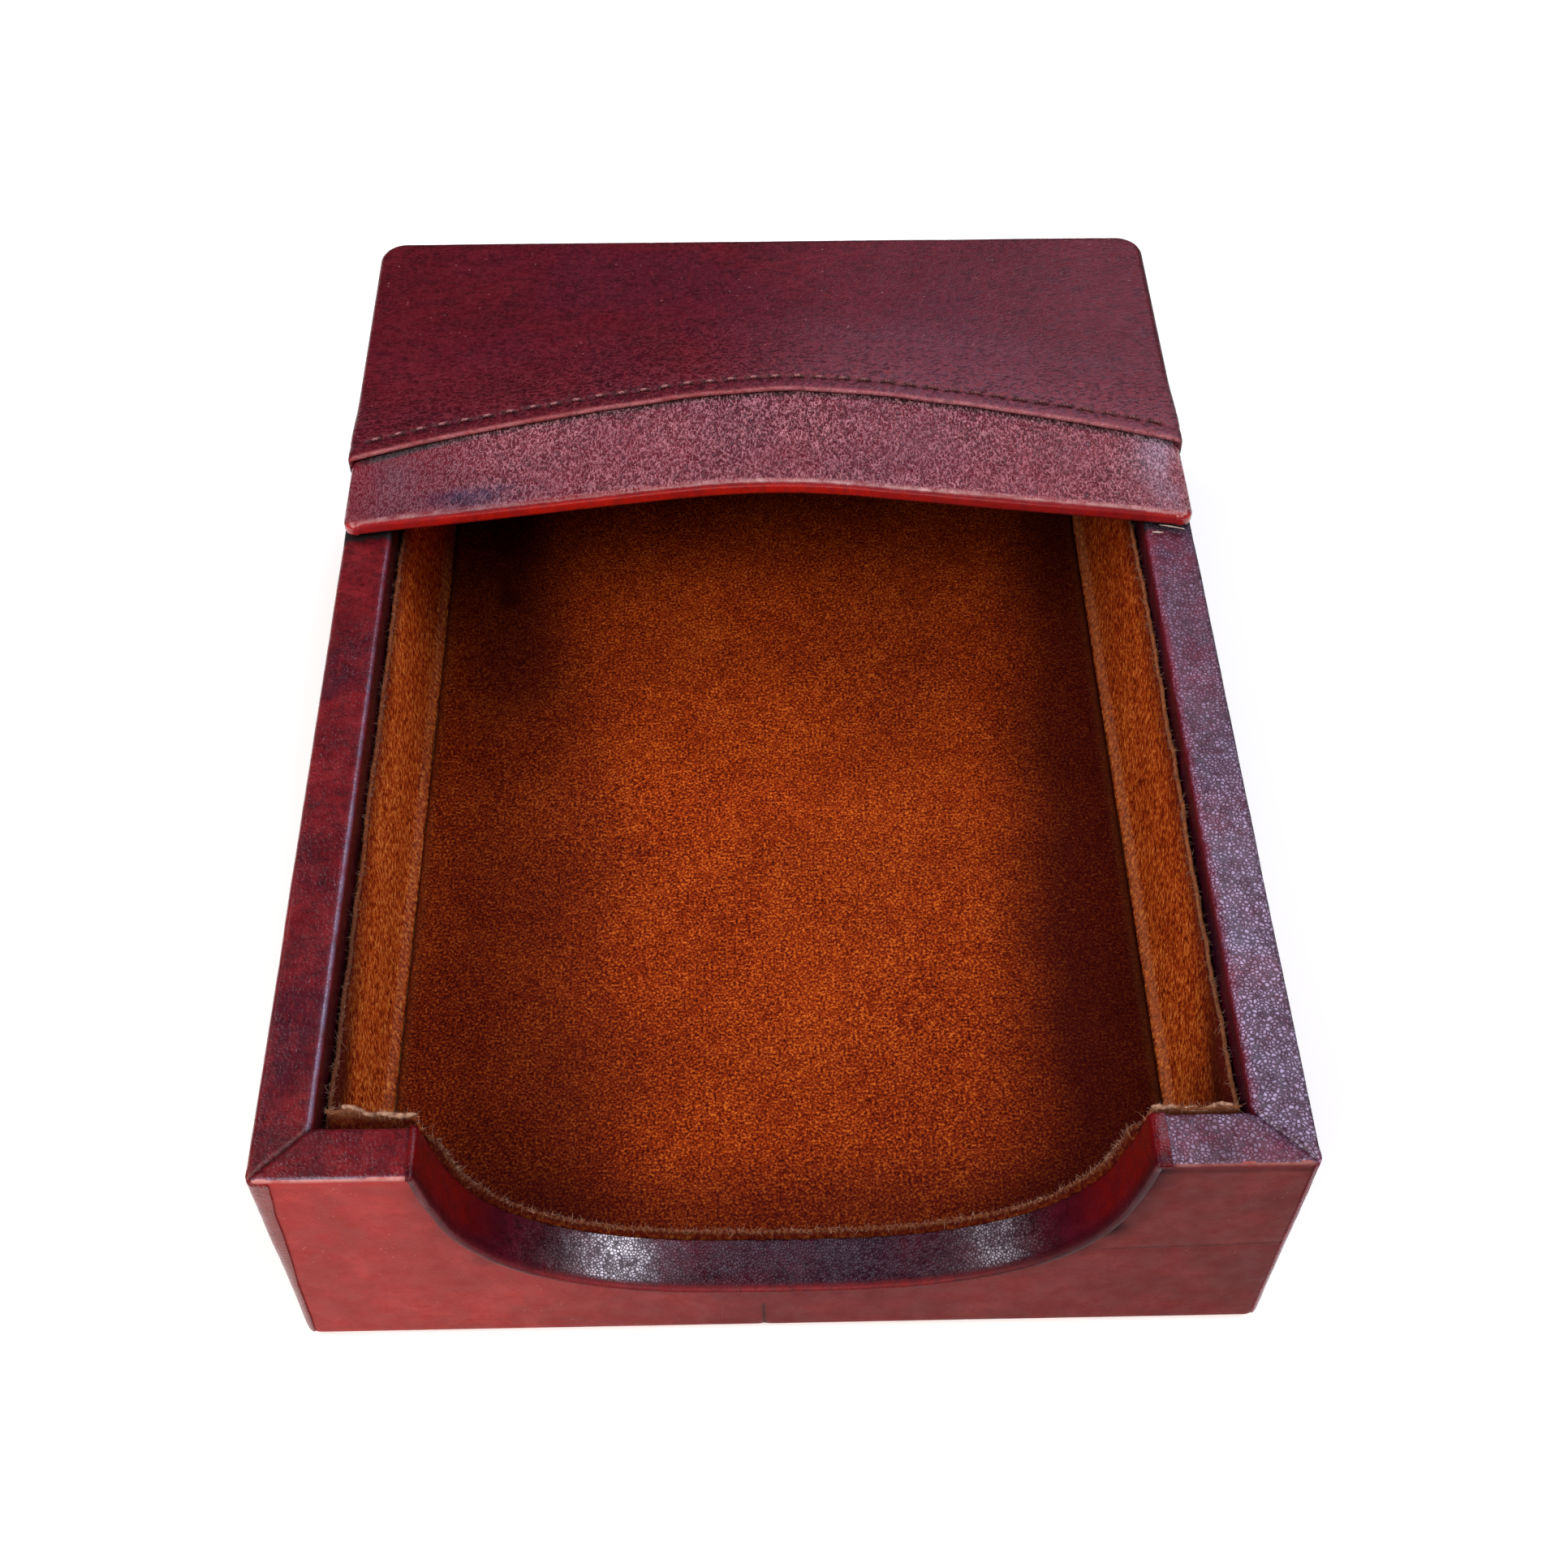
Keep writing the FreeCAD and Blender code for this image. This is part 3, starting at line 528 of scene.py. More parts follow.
# ------------------------------------------------------------------ leather wraps of the four walls
def section(r_top=0.75, r_bot=0.95, r_in=0.7, under=12.0, z_end=36.6, fine=0.42):
    """Outer line of a wrap as depth d inwards and height z: under the base, up the side, over the rim, down inside."""
    D = 7.1
    pts = []

    def line(a, b, s, zone, skip=True):
        n = max(1, int(round(math.dist(a, b) / s)))
        for k in range(1 if skip else 0, n + 1):
            t = k / n
            pts.append((a[0] + (b[0] - a[0]) * t, a[1] + (b[1] - a[1]) * t, zone))

    def arc(c, r, a0, a1, n, zone):
        for k in range(1, n + 1):
            a = math.radians(a0 + (a1 - a0) * k / n)
            pts.append((c[0] + r * math.cos(a), c[1] + r * math.sin(a), zone))

    line((under, Z_LEA), (r_bot, Z_LEA), 1.6, 0, skip=False)
    arc((r_bot, Z_LEA + r_bot), r_bot, -90, -180, 6, 1)
    line((0, Z_LEA + r_bot), (0, Z_RIM - r_top), 0.8, 2)
    arc((r_top, Z_RIM - r_top), r_top, 180, 90, 7, 3)
    line((r_top, Z_RIM), (D - r_in, Z_RIM), fine, 4)
    arc((D - r_in, Z_RIM - r_in), r_in, 90, 0, 6, 5)
    line((D, Z_RIM - r_in), (D, z_end), 0.6, 6)
    return np.array([p[:2] for p in pts]), np.array([p[2] for p in pts])


def plan_point(c, d, L, R1, R2):
    re1, re2 = max(R1 - d, 0.12), max(R2 - d, 0.12)
    T0 = re1 * math.pi / 4 + (2 * L - 2 * d - re1 - re2) + re2 * math.pi / 4

    def end(c, re):
        h = re * math.pi / 4
        phi = np.clip(math.pi / 4 - c / re, 0, math.pi / 2)
        p = (d + re) - re * np.sin(phi) + np.maximum(c - h, 0)
        q = (-d - re) + re * np.cos(phi) - np.maximum(-c - h, 0)
        return p, q, np.clip((h - c) / (2 * h), 0, 1)

    p1, q1, l1 = end(c, re1)
    p2, q2, l2 = end(T0 - c, re2)
    first = c < T0 / 2
    return np.where(first, -L + p1, L - p2), np.where(first, q1, q2), np.where(first, l1, -l2), T0


def wrap(kind, L, R1, R2, ext1, ext2, seed, coarse=0.85, lap=0.30, groove=0.22, amp=0.05, gap=0.05):
    """A leather wrap as a closed sheet. ext is how far it laps round each end corner onto the next face."""
    S, zone = section()
    base = 2 * L
    fine = np.arange(0, 9.0, 0.32)
    nm = int((base - 18) / coarse)
    rows, lifts, cd = [], [], []
    for (d, z), k in zip(S, zone):
        if k == 2:
            w = 1.0
        elif k == 3:
            w = float(step(Z_RIM - 0.25, Z_RIM - 0.75, z))
        elif k == 1:
            w = float(step(Z_LEA + 0.15, Z_LEA + 0.9, z))
        else:
            w = 0.0
        hz = (z - Z_LEA) / (Z_RIM - Z_LEA)
        wavy = 0.14 * float(noise(np.array([z, 3.0, 5.0]), 5.0, seed)) + 0.06 * float(noise(np.array([z, 7.0, 5.0]), 1.6, seed + 1))
        e1 = (ext1(hz) + 1.7 + wavy) * w if ext1 else 0.0
        e2 = (ext2(hz) + 1.7) * w if ext2 else 0.0
        # the front corners are sharper at the rim than at the foot
        r1 = R1 * (1.0 - 0.45 * float(step(0.0, 1.0, hz))) if R1 < 3 else R1
        r2 = R2 * (1.0 - 0.45 * float(step(0.0, 1.0, hz))) if R2 < 3 else R2
        _, _, _, T0 = plan_point(np.zeros(1), d, L, r1, r2)
        T = T0 + e1 + e2 - 2 * gap * (1 - w)
        mid = np.linspace(9.0, T - 9.0, nm + 1)
        s = np.r_[fine, mid, T - fine[::-1]] - e1 + gap * (1 - w)
        p, q, l, _ = plan_point(s, d, L, r1, r2)
        rows.append(np.stack([p, q, np.full_like(p, z)], -1))
        lifts.append(np.abs(l) * w * (((l > 0) & (ext1 is not None)) | ((l < 0) & (ext2 is not None))))
        cd.append(np.minimum(s + e1, T - (s + e1)))
    G = np.array(rows)
    lift = np.array(lifts)
    lift = lift * lift * (3 - 2 * lift)
    end = np.array(cd)
    n, m = G.shape[:2]
    p, q, z = G[..., 0], G[..., 1], G[..., 2]
    if kind == "left":
        W = np.stack([-HX - q, p, z], -1)
        ref = np.array([-1, 0, 0.0])
    elif kind == "right":
        W = np.stack([HX + q, p, z], -1)
        ref = np.array([1, 0, 0.0])
    elif kind == "front":
        W = np.stack([p, -HY - q, z], -1)
        ref = np.array([0, -1, 0.0])
    else:
        W = np.stack([p, HY + q, z], -1)
        ref = np.array([0, 1, 0.0])
    V = W.reshape(-1, 3)
    F = grid(n, m)
    N = normals(V, F)
    mid = np.flatnonzero(zone == 2)[10] * m + m // 2
    if (N[mid] * ref).sum() < 0:
        F = F[:, ::-1]
        N = -N
    zz = np.repeat(zone, m).reshape(n, m)
    relief = amp * fbm(V, 9.0, seed, 3).reshape(n, m) + 0.02 * noise(V, 1.6, seed + 5).reshape(n, m)
    relief *= np.where(zz <= 1, 0.3, 1.0)
    rim = ((zz >= 3) & (zz <= 5)).astype(float)
    relief -= rim * groove * np.exp(-(end / 0.42) ** 2)
    relief += rim * 0.10 * np.exp(-((end - 1.1) / 0.7) ** 2)
    V = V + N * (relief + lap * lift).reshape(-1, 1)
    t = (0.70 - (0.70 - 0.28) * lift).reshape(-1)
    t = np.where((zz.reshape(-1) >= 3), 0.60, t)
    return thick_sheet(V, F, t, K=2)


def rim_wear(P):
    """Redder at the outer edge of a rim, at the foot and where the side's leather laps on to the front."""
    x, y, z = np.abs(P[:, 0]), np.abs(P[:, 1]), P[:, 2]
    d = np.minimum(HX - x, HY - y)
    outer = np.exp(-((d - 0.1) / 0.40) ** 2) * step(Z_RIM - 1.6, Z_RIM - 0.7, z)
    lap = step(-HY + 0.9, -HY + 0.2, P[:, 1]) * step(Z_RIM - 0.4, Z_RIM - 1.4, z)
    right = (P[:, 0] > 0) & (y < HY - 7)
    inner = 0.9 * np.exp(-((d - 7.0) / 0.55) ** 2) * step(Z_RIM - 2.6, Z_RIM - 1.2, z) * right
    return np.clip(0.55 * outer * (1 - 0.9 * right) + inner + 0.3 * step(2.4, 1.0, z) + 0.85 * lap * (1 - 0.6 * right), 0, 1)


def rim_edge_highlight(P):
    """Painted highlight: a thin pale line along the inner edge of a rim."""
    x, y, z = np.abs(P[:, 0]), np.abs(P[:, 1]), P[:, 2]
    d = np.minimum(HX - x, HY - y)
    side = (P[:, 0] < 0) * (0.25 + 0.55 * step(20, -50, P[:, 1])) + 0.15 * (P[:, 0] >= 0)
    return np.clip(side * np.exp(-((d - 6.75) / 0.24) ** 2) * step(Z_RIM - 0.8, Z_RIM - 0.25, z), 0, 1)


def rim_shade_and_seam(P):
    # painted shade on the wraps: the turned-in leather inside the rim, a shadow on the rims under the bridge's front
    # edge, and a dark line along the outer edge of the right rim; also the dark mitre seams and a darker patch at the
    # left front corner
    x, y, z = np.abs(P[:, 0]), np.abs(P[:, 1]), P[:, 2]
    d = np.minimum(HX - x, HY - y)
    seam = np.exp(-((np.abs((HX - x) - (HY - y))) / 0.30) ** 2) * step(Z_RIM - 0.5, Z_RIM - 0.2, z) * step(0.2, 0.8, d)
    patch = 0.35 * np.exp(-((P[:, 0] + 57.5) / 4.5) ** 2) * np.exp(-((P[:, 1] + 80.0) / 8.0) ** 2) * step(Z_RIM - 0.6, Z_RIM - 0.2, z) * (0.6 + 0.4 * noise(P, 2.5, 3))
    inner = 0.55 * (P[:, 0] < 0) + 0.30 * (P[:, 0] >= 0)
    gap = step(-0.45, 0.15, P[:, 1] - (19.1 + 0.145 * (63.5 - x))) * step(Z_RIM - 1.6, Z_RIM - 0.8, z)
    outer_edge_shade = 1.0 * np.exp(-((d - 0.05) / 0.40) ** 2) * step(Z_RIM - 1.5, Z_RIM - 0.7, z) * (P[:, 0] > 55) * (P[:, 1] > -HY + 1.5)
    return np.clip(inner * step(6.6, 7.1, d) * step(42.5, 40.6, z) + 0.5 * seam + patch + gap + outer_edge_shade, 0, 1)


V, F = wrap("left", HY, 2.2, 4.0, lambda h: -1.0 + 1.55 * h, lambda h: 2.0, 11)
left_wrap = build("left_wall_leather_wrap", [(V, F, 0)], [M_RIM_L], ["left_wall_leather"],
                  attrs={"wear": rim_wear, "dark": rim_shade_and_seam, "edge": rim_edge_highlight})
# the right wrap carries painted sheen on its rim, stronger towards the front
V, F = wrap("right", HY, 2.2, 4.0, lambda h: -1.25, lambda h: 2.0, 23)
right_wrap = build("right_wall_leather_wrap", [(V, F, 0)], [M_RIM_SHEEN], ["right_wall_leather"],
                   attrs={"wear": rim_wear, "dark": rim_shade_and_seam, "edge": rim_edge_highlight, "matte": lambda P: np.maximum(0.6 * step(-35, 15, P[:, 1]), step(HX - 0.6, HX - 0.3, P[:, 0])),
                          "painted_sheen": lambda P: (0.10 + 0.36 * step(32, 4, P[:, 1]) + 0.54 * step(0, -60, P[:, 1])) * step(Z_RIM - 0.9, Z_RIM - 0.2, P[:, 2])})
V, F = wrap("back", HX, 4.0, 4.0, None, None, 37)
back_wrap = build("back_wall_leather_wrap", [(V, F, 0)], [M_SIDE], ["back_wall_leather"],
                  attrs={"wear": rim_wear, "dark": rim_shade_and_seam})

# the scoop's line: the opening's edge as x and z
HALF = [(0, 11.1), (8, 11.25), (15, 11.75), (20.8, 12.85), (25.5, 14.35), (30.2, 16.6), (34, 19.3), (37.2, 22.7), (39.4, 26),
        (40.9, 29.4), (42.1, 33.8), (43, 38), (43.6, 42.3)]
SCOOP = Spline([(-x, z + 0.6) for x, z in HALF[:0:-1]] + [(x, z + 0.6) for x, z in HALF])
U = SCOOP.even(0.45)
_t = unit(np.gradient(U, axis=0))
U_N = np.stack([-_t[:, 1], _t[:, 0]], -1)      # into the opening


def scoop_offset(n):
    return U + U_N * n


# front wrap with the scoop cut out of it
V, F = wrap("front", HX, 2.2, 2.2, None, None, 53, coarse=0.6, amp=0.035)
front_wrap = build("front_wall_leather_wrap", [(V, F, 0)], [M_FRONT], ["front_wall_leather"])
edge = scoop_offset(-0.82)
top_l, top_r = edge[0], edge[-1]
loop = np.concatenate([[[top_l[0] - 0.2, 60.0]], edge, [[top_r[0] + 0.2, 60.0]]])
rings = np.stack([np.stack([loop[:, 0], np.full(len(loop), y), loop[:, 1]], -1) for y in (-99.0, -70.0)])
cv, cf = tube(rings)
cutter_me = bpy.data.meshes.new("cutter")
cutter_me.from_pydata((cv * MM).tolist(), [], cf)
bm = bmesh.new()
bm.from_mesh(cutter_me)
bmesh.ops.recalc_face_normals(bm, faces=bm.faces)
bm.to_mesh(cutter_me)
bm.free()
cutter = bpy.data.objects.new("cutter", cutter_me)
bpy.context.scene.collection.objects.link(cutter)
mod = front_wrap.modifiers.new("scoop", "BOOLEAN")
mod.operation, mod.solver, mod.object = "DIFFERENCE", "EXACT", cutter
bpy.context.view_layer.update()
cut = bpy.data.meshes.new_from_object(front_wrap.evaluated_get(bpy.context.evaluated_depsgraph_get()))
front_wrap.modifiers.clear()
front_wrap.data = cut
bpy.data.objects.remove(cutter)
cut.materials.clear()
cut.materials.append(M_FRONT)
cut.materials.append(M_RIM_SHEEN)
cut.materials.append(M_RIM_L)
cen = np.zeros(len(cut.polygons) * 3)
cut.polygons.foreach_get("center", cen)
cen = cen.reshape(-1, 3) / MM
on_rim = (cen[:, 1] > -HY + 0.35) & (cen[:, 2] > 30)
cut.polygons.foreach_set("material_index", np.where(on_rim, np.where(cen[:, 0] < 0, 2, 1), 0).astype(np.int32))
cut.polygons.foreach_set("use_smooth", np.ones(len(cut.polygons), bool))
cut.set_sharp_from_angle(angle=math.radians(40))


def front_wear(P):
    face = step(-HY + 0.6, -HY + 0.1, P[:, 1])
    top = np.exp(-((P[:, 2] - Z_RIM + 1.0) / 0.45) ** 2)
    return np.clip(face * (0.8 * top * (1 - 0.6 * step(0, 20, P[:, 0])) + 0.25 * step(2.2, 0.9, P[:, 2])) + (1 - face) * rim_wear(P) * 0.4, 0, 1)


def front_edge_highlight(P):
    # painted highlight lines along the top edge of the face and along its foot
    line = np.exp(-((P[:, 1] + HY - 0.22) / 0.24) ** 2) * step(Z_RIM - 0.7, Z_RIM - 0.3, P[:, 2])
    foot_line = 0.8 * np.exp(-((P[:, 2] - 0.85) / 0.22) ** 2) * step(-HY + 0.9, -HY + 0.3, P[:, 1])
    return np.clip(line * (0.9 - 0.5 * step(0, 20, P[:, 0])) + foot_line * 0.7, 0, 1)


def scoop_distance(P):
    d = np.full(len(P), 99.0)
    for a in range(0, len(P), 4000):
        b = P[a:a + 4000]
        d[a:a + 4000] = np.sqrt((b[:, None, 0] - U[None, ::3, 0]) ** 2 + (b[:, None, 2] - U[None, ::3, 1]) ** 2).min(1)
    return d


def front_shade_and_seam(P):
    # painted shade: the face is duller and darker to the right, a soft shadow lies beside the scoop and a dark line
    # under the rim on the right; the turned-in leather is darkened as painted shade too
    x, z = P[:, 0], P[:, 2]
    face = step(-HY + 0.6, -HY + 0.1, P[:, 1])
    falloff_shade = 0.06 + 0.16 * step(-58, -30, x) + 0.34 * step(-38, 0, x) + 0.10 * step(20, 60, x)
    scoop_shadow = (0.30 * step(34, 40, np.abs(x)) + 0.12) * np.exp(-(scoop_distance(P) / 2.6) ** 2) * (0.7 + 0.5 * noise(P, 3.0, 61))
    under_rim_shade = 0.22 * np.exp(-((z - Z_RIM + 1.25) / 0.45) ** 2) * step(41, 45, x)
    return np.clip(face * (falloff_shade + scoop_shadow + under_rim_shade) + (1 - face) * rim_shade_and_seam(P), 0, 1)


# the front wrap gets painted shade on its face, painted highlight lines on its edges and painted sheen on its rim tops
paint(front_wrap, {"wear": front_wear, "dark": front_shade_and_seam, "edge": front_edge_highlight, "painted_sheen": lambda P: (0.55 + 0.45 * noise(P, 4.0, 71)) * step(Z_RIM - 0.9, Z_RIM - 0.2, P[:, 2])})
fco = np.zeros(len(cut.vertices) * 3)
cut.vertices.foreach_get("co", fco)
fco = fco.reshape(-1, 3)
fp = fco / MM
on_face = step(-HY + 0.5, -HY + 0.2, fp[:, 1]) * (fp[:, 1] < -HY + 0.5)
# a crease across the right part of the face and a short one below the scoop
fco[:, 1] += MM * on_face * (0.10 * np.exp(-((fp[:, 2] - (21.4 + 0.035 * (fp[:, 0] - 40))) / 0.45) ** 2) * step(37.5, 41, fp[:, 0])
                             + 0.12 * np.exp(-((fp[:, 0] + 2.6) / 0.40) ** 2) * step(8.0, 6.8, fp[:, 2]))
cut.vertices.foreach_set("co", fco.ravel())


# ------------------------------------------------------------------ strip round the scoop
def scoop_strip():
    path = [tuple(p) for p in U if p[1] < 42.55]
    left, right = path[0], path[-1]
    r, top = 0.62, Z_RIM + 0.36

    def over(x, sign, flap):
        c = (x + sign * r, top - r)
        pts = [(c[0] - sign * r * math.cos(a), c[1] + r * math.sin(a)) for a in np.radians(np.arange(12, 91, 13))]
        pts += [(c[0] + sign * k, top) for k in np.arange(0.2, flap + 0.01, 0.2)]
        return pts

    path = over(left[0] - 0.04, -1, 0.5)[::-1] + path + over(right[0] + 0.04, 1, 1.5)
    C = resample(np.array(path), 0.33)
    t = unit(np.gradient(C, axis=0))
    N = np.stack([-t[:, 1], t[:, 0]], -1)
    steep = np.abs(t[:, 1])
    xs, zs = C[:, 0], C[:, 1]
    flap = step(42.6, 43.2, zs)
    w = 0.52 + 0.30 * step(0.2, 0.75, steep)
    w = w * (1 - 0.15 * flap)
    w = w + 0.05 * noise(np.stack([xs, zs, zs * 0], -1), 3.0, 5)
    th = 0.8 - 0.44 * flap
    secs = []
    for k in range(len(C)):
        wk, tk = w[k], th[k]
        pr, r2, yb, yf = 0.28, 0.40, -HY + 7.05, -HY
        s = [(yb, -tk), (yb, -tk * 0.5), (yb - 0.03, -0.16), (yb - 0.14, -0.03)]
        for y in np.linspace(yb - 0.45, yf - pr + r2 + 0.25, 17):
            s.append((y, 0.0))
        for a in np.radians(np.arange(90, 181, 15)):
            s.append((yf - pr + r2 + r2 * math.cos(a), -r2 + r2 * math.sin(a)))
        e = max(wk, r2 + 0.12)
        s.append((yf - pr, -(r2 + e) / 2))
        s.append((yf - pr + 0.03, -e + 0.07))
        s.append((yf - pr + 0.12, -e))
        s.append((yf - 0.02, -e))
        s.append((yf - 0.02, -tk))
        s.append((yf + 2.0, -tk))
        s.append((yf + 4.5, -tk))
        secs.append(s)
    s = np.array(secs)
    y, nn = s[..., 0], s[..., 1]
    P = np.stack([xs[:, None] + N[:, 0:1] * nn, y, zs[:, None] + N[:, 1:2] * nn], -1)
    outer = (nn > -0.39) & (y < -HY + 7.0)
    bumpy = 0.045 * fbm(P, (3.0, 3.0, 3.0), 71, 3) + 0.03 * noise(P, 1.1, 72)
    # a soft crown across the strip, and a shallow hollow behind the bead
    yy = (y + HY) / 7.0
    crown = 0.10 * np.sin(np.clip(yy, 0, 1) * math.pi) - 0.12 * np.exp(-((y + HY - 1.5) / 0.5) ** 2) * (steep[:, None] > 0.5)
    dn = np.where(outer, bumpy + crown, 0.0)
    P[..., 0] += N[:, 0:1] * dn
    P[..., 2] += N[:, 1:2] * dn
    lapz = (y < -HY - 0.2) & (nn < -0.5)
    P[..., 1] -= np.where(lapz, 0.05 * noise(P, 2.2, 74), 0.0)
    return tube(P)


def strip_wear(P):
    front = step(-HY + 1.0, -HY - 0.1, P[:, 1])
    low = step(20, 14, P[:, 2])
    flank = step(20, 30, P[:, 2])
    return np.clip(front * (0.75 * low + 0.45) + 0.85 * flank * step(-HY + 0.3, -HY + 2.5, P[:, 1]), 0, 1)


def strip_edge_highlight(P):
    # painted highlight lines along the strip's front edge and down the edge of the left tab
    line = np.exp(-((P[:, 1] + HY + 0.02) / 0.17) ** 2)
    crest_highlight = 0.9 * np.exp(-((P[:, 0] + 43.2) / 0.4) ** 2) * step(Z_RIM - 14, Z_RIM - 1, P[:, 2]) * step(-HY + 0.4, -HY, P[:, 1])
    return np.clip((0.25 + 0.35 * step(26, 14, P[:, 2])) * line * (1 - 0.6 * step(-5, 15, P[:, 0])) + 0.6 * crest_highlight, 0, 1)


V, F = scoop_strip()
# on the strip: painted shadow along the front edge on the right, and two painted reflection patches of pale pebble tops
# on the bottom of the scoop
build("scoop_strip_leather_edge", [(V, F, 0)], [M_STRIP], ["scoop_strip_leather"],
      attrs={"wear": strip_wear, "dark": lambda P: 0.5 * step(-HY + 1.0, -HY, P[:, 1]) * step(16, 28, P[:, 0]) * step(Z_RIM - 0.3, Z_RIM - 1.5, P[:, 2]), "edge": strip_edge_highlight,
             "matte": lambda P: 0.9 * step(-HY + 0.9, -HY + 0.4, P[:, 1]) * step(Z_RIM, Z_RIM - 1.5, P[:, 2]),
             "painted_sheen": lambda P: (1.0 * np.exp(-(np.abs(P[:, 0] + 21.6) / 4.3) ** 3) + 0.36 * np.exp(-((P[:, 0] - 27.2) / 3.0) ** 2) + 0.04 * step(22, 16, P[:, 2]))
             * step(-HY + 0.5, -HY + 1.3, P[:, 1]) * (0.85 + 0.3 * noise(P, 2.0, 73))})


# ------------------------------------------------------------------ linings
def raw_top(y, seed, mid=38.0):
    P = np.stack([y, y * 0, y * 0], -1)
    return mid + 0.45 * noise(P, 14.0, seed) + 0.30 * noise(P, 4.0, seed + 1) + 0.26 * noise(P, 1.3, seed + 2) + 0.12 * noise(P, 0.6, seed + 4)


def foot(z, reach=1.25, top=8.4):
    return reach * step(top, 4.9, z) ** 1.35


def side_lining(sign, seed):
    ys = np.linspace(-YW + 0.2, YW - 0.2, 421)
    u = np.r_[np.linspace(0, 0.12, 12)[:-1], np.linspace(0.12, 0.93, 62), np.linspace(0.93, 1.0, 9)[1:]]
    zt = raw_top(ys, seed)
    Y, Uu = np.meshgrid(ys, u)
    Z = 4.45 + (zt[None, :] - 4.45) * Uu
    X = 55.4 - foot(Z)
    # the mitres at the corners of the well
    Yc = np.sign(Y) * np.minimum(np.abs(Y), YW - 0.1 - foot(Z))
    # the raw edge stands a little off the leather in places
    off = step(0.90, 1.0, Uu) * (0.30 * np.clip(noise(np.stack([Y, Y * 0, Y * 0], -1), 9.0, seed + 9), -0.3, 1))
    V = np.stack([sign * (X - off), Yc, Z], -1).reshape(-1, 3)
    F = grid(*Y.shape)
    N = normals(V, F)
    if (N[len(N) // 2] * np.array([-sign, 0, 0.0])).sum() < 0:
        F, N = F[:, ::-1], -N
    V = V + N * (0.05 * noise(V, 0.9, seed) + 0.07 * fbm(V, 12.0, seed + 3, 2))[:, None]
    t = 1.7 - 1.15 * step(34.5, 37.0, V[:, 2])
    t = np.where(V[:, 2] < 8, 1.0, t)
    parts = [thick_sheet(V, F, t, K=3, bulge=0.7) + (0,)]
    rng = np.random.default_rng(seed)
    n = 4200
    y = rng.uniform(-YW + 0.4, YW - 0.4, n)
    clump = 0.5 + 0.5 * noise(np.stack([y, y * 0, y * 0], -1), 2.2, seed + 21)
    keep = rng.random(n) < 0.25 + 0.75 * clump
    y = y[keep]
    n = len(y)
    across = rng.uniform(0, 1, n)
    zt = raw_top(y, seed)
    off = 0.30 * np.clip(noise(np.stack([y, y * 0, y * 0], -1), 9.0, seed + 9), -0.3, 1)
    roots = np.stack([sign * (55.4 - off + across * 0.45), y, zt - 0.15 * across], -1)
    dirs = np.stack([sign * rng.uniform(-0.5, 0.6, n), rng.normal(0, 0.9, n), rng.uniform(0.0, 0.8, n)], -1)
    L = np.minimum(rng.gamma(2.2, 0.15, n) + 0.10, 1.1)
    parts.append(fibres(roots, dirs, L, rng.uniform(0.030, 0.060, n), seed + 31, curl=0.9) + (1,))
    return parts


def lining_attrs(sign):
    def raw(P):
        zt = raw_top(P[:, 1], 101 if sign < 0 else 131)
        foot_band = 0.50 * step(8.2, 7.0, P[:, 2]) * step(5.2, 5.8, P[:, 2])
        return np.clip(0.6 * step(0.35, 0.05, zt - P[:, 2]) + foot_band, 0, 1)

    def tint(P):
        # painted shade: a darker red band just below the raw top edge
        zt = raw_top(P[:, 1], 101 if sign < 0 else 131)
        return np.clip(0.65 * step(7.0, 1.5, zt - P[:, 2]) * (1 - step(0.5, 0.1, zt - P[:, 2])), 0, 1)

    def painted_shade_and_spot(P):
        # painted shade: darker at the foot, near the front end, in the front corner and just below the raw edge
        front_end = step(-50, -76, P[:, 1]) * (0.20 if sign < 0 else 0.8)
        zt = raw_top(P[:, 1], 101 if sign < 0 else 131)
        corner = (0.85 if sign < 0 else 0.5) * step(-30, -68, P[:, 1]) * step(13.0, 4.0, zt - P[:, 2])
        return np.clip(0.35 * step(6.2, 4.9, P[:, 2]) + front_end + corner + 0.6 * step(1.6, 0.5, zt - P[:, 2]), 0, 1)
    return {"raw": raw, "tint": tint, "painted_shade_and_spot": painted_shade_and_spot}


build("left_wall_velveteen", side_lining(-1, 101), [M_VELVET_LEFT_LIT, M_FIBRE], ["left_wall_lining"], sharp=60,
      attrs=lining_attrs(-1), recalc=False)
build("right_wall_velveteen", side_lining(1, 131), [M_VELVET_WALL, M_FIBRE], ["right_wall_lining"], sharp=60,
      attrs=lining_attrs(1), recalc=False)


def front_top(seed=151):
    """Top edge of the front lining: along a tab, down the scoop a little proud of the strip, and up the other tab."""
    keep = U[:, 1] < 38.6
    Ui = (U + U_N * 0.55)[keep]
    Ui = Ui[(Ui[:, 1] < 38.3)]
    tl = np.stack([np.linspace(-55.2, Ui[0, 0] - 0.5, 26), np.full(26, 38.6)], -1)
    tr = np.stack([np.linspace(Ui[-1, 0] + 0.5, 55.2, 26), np.full(26, 38.6)], -1)
    C = resample(np.concatenate([tl, Ui, tr]), 0.42)
    P = np.stack([C[:, 0], C[:, 1], C[:, 0] * 0], -1)
    t = unit(np.gradient(C, axis=0))
    nrm = np.stack([-t[:, 1], t[:, 0]], -1)
    wob = 0.16 * noise(P, 5.0, seed) + 0.12 * noise(P, 1.5, seed + 1)
    return C + nrm * wob[:, None], nrm


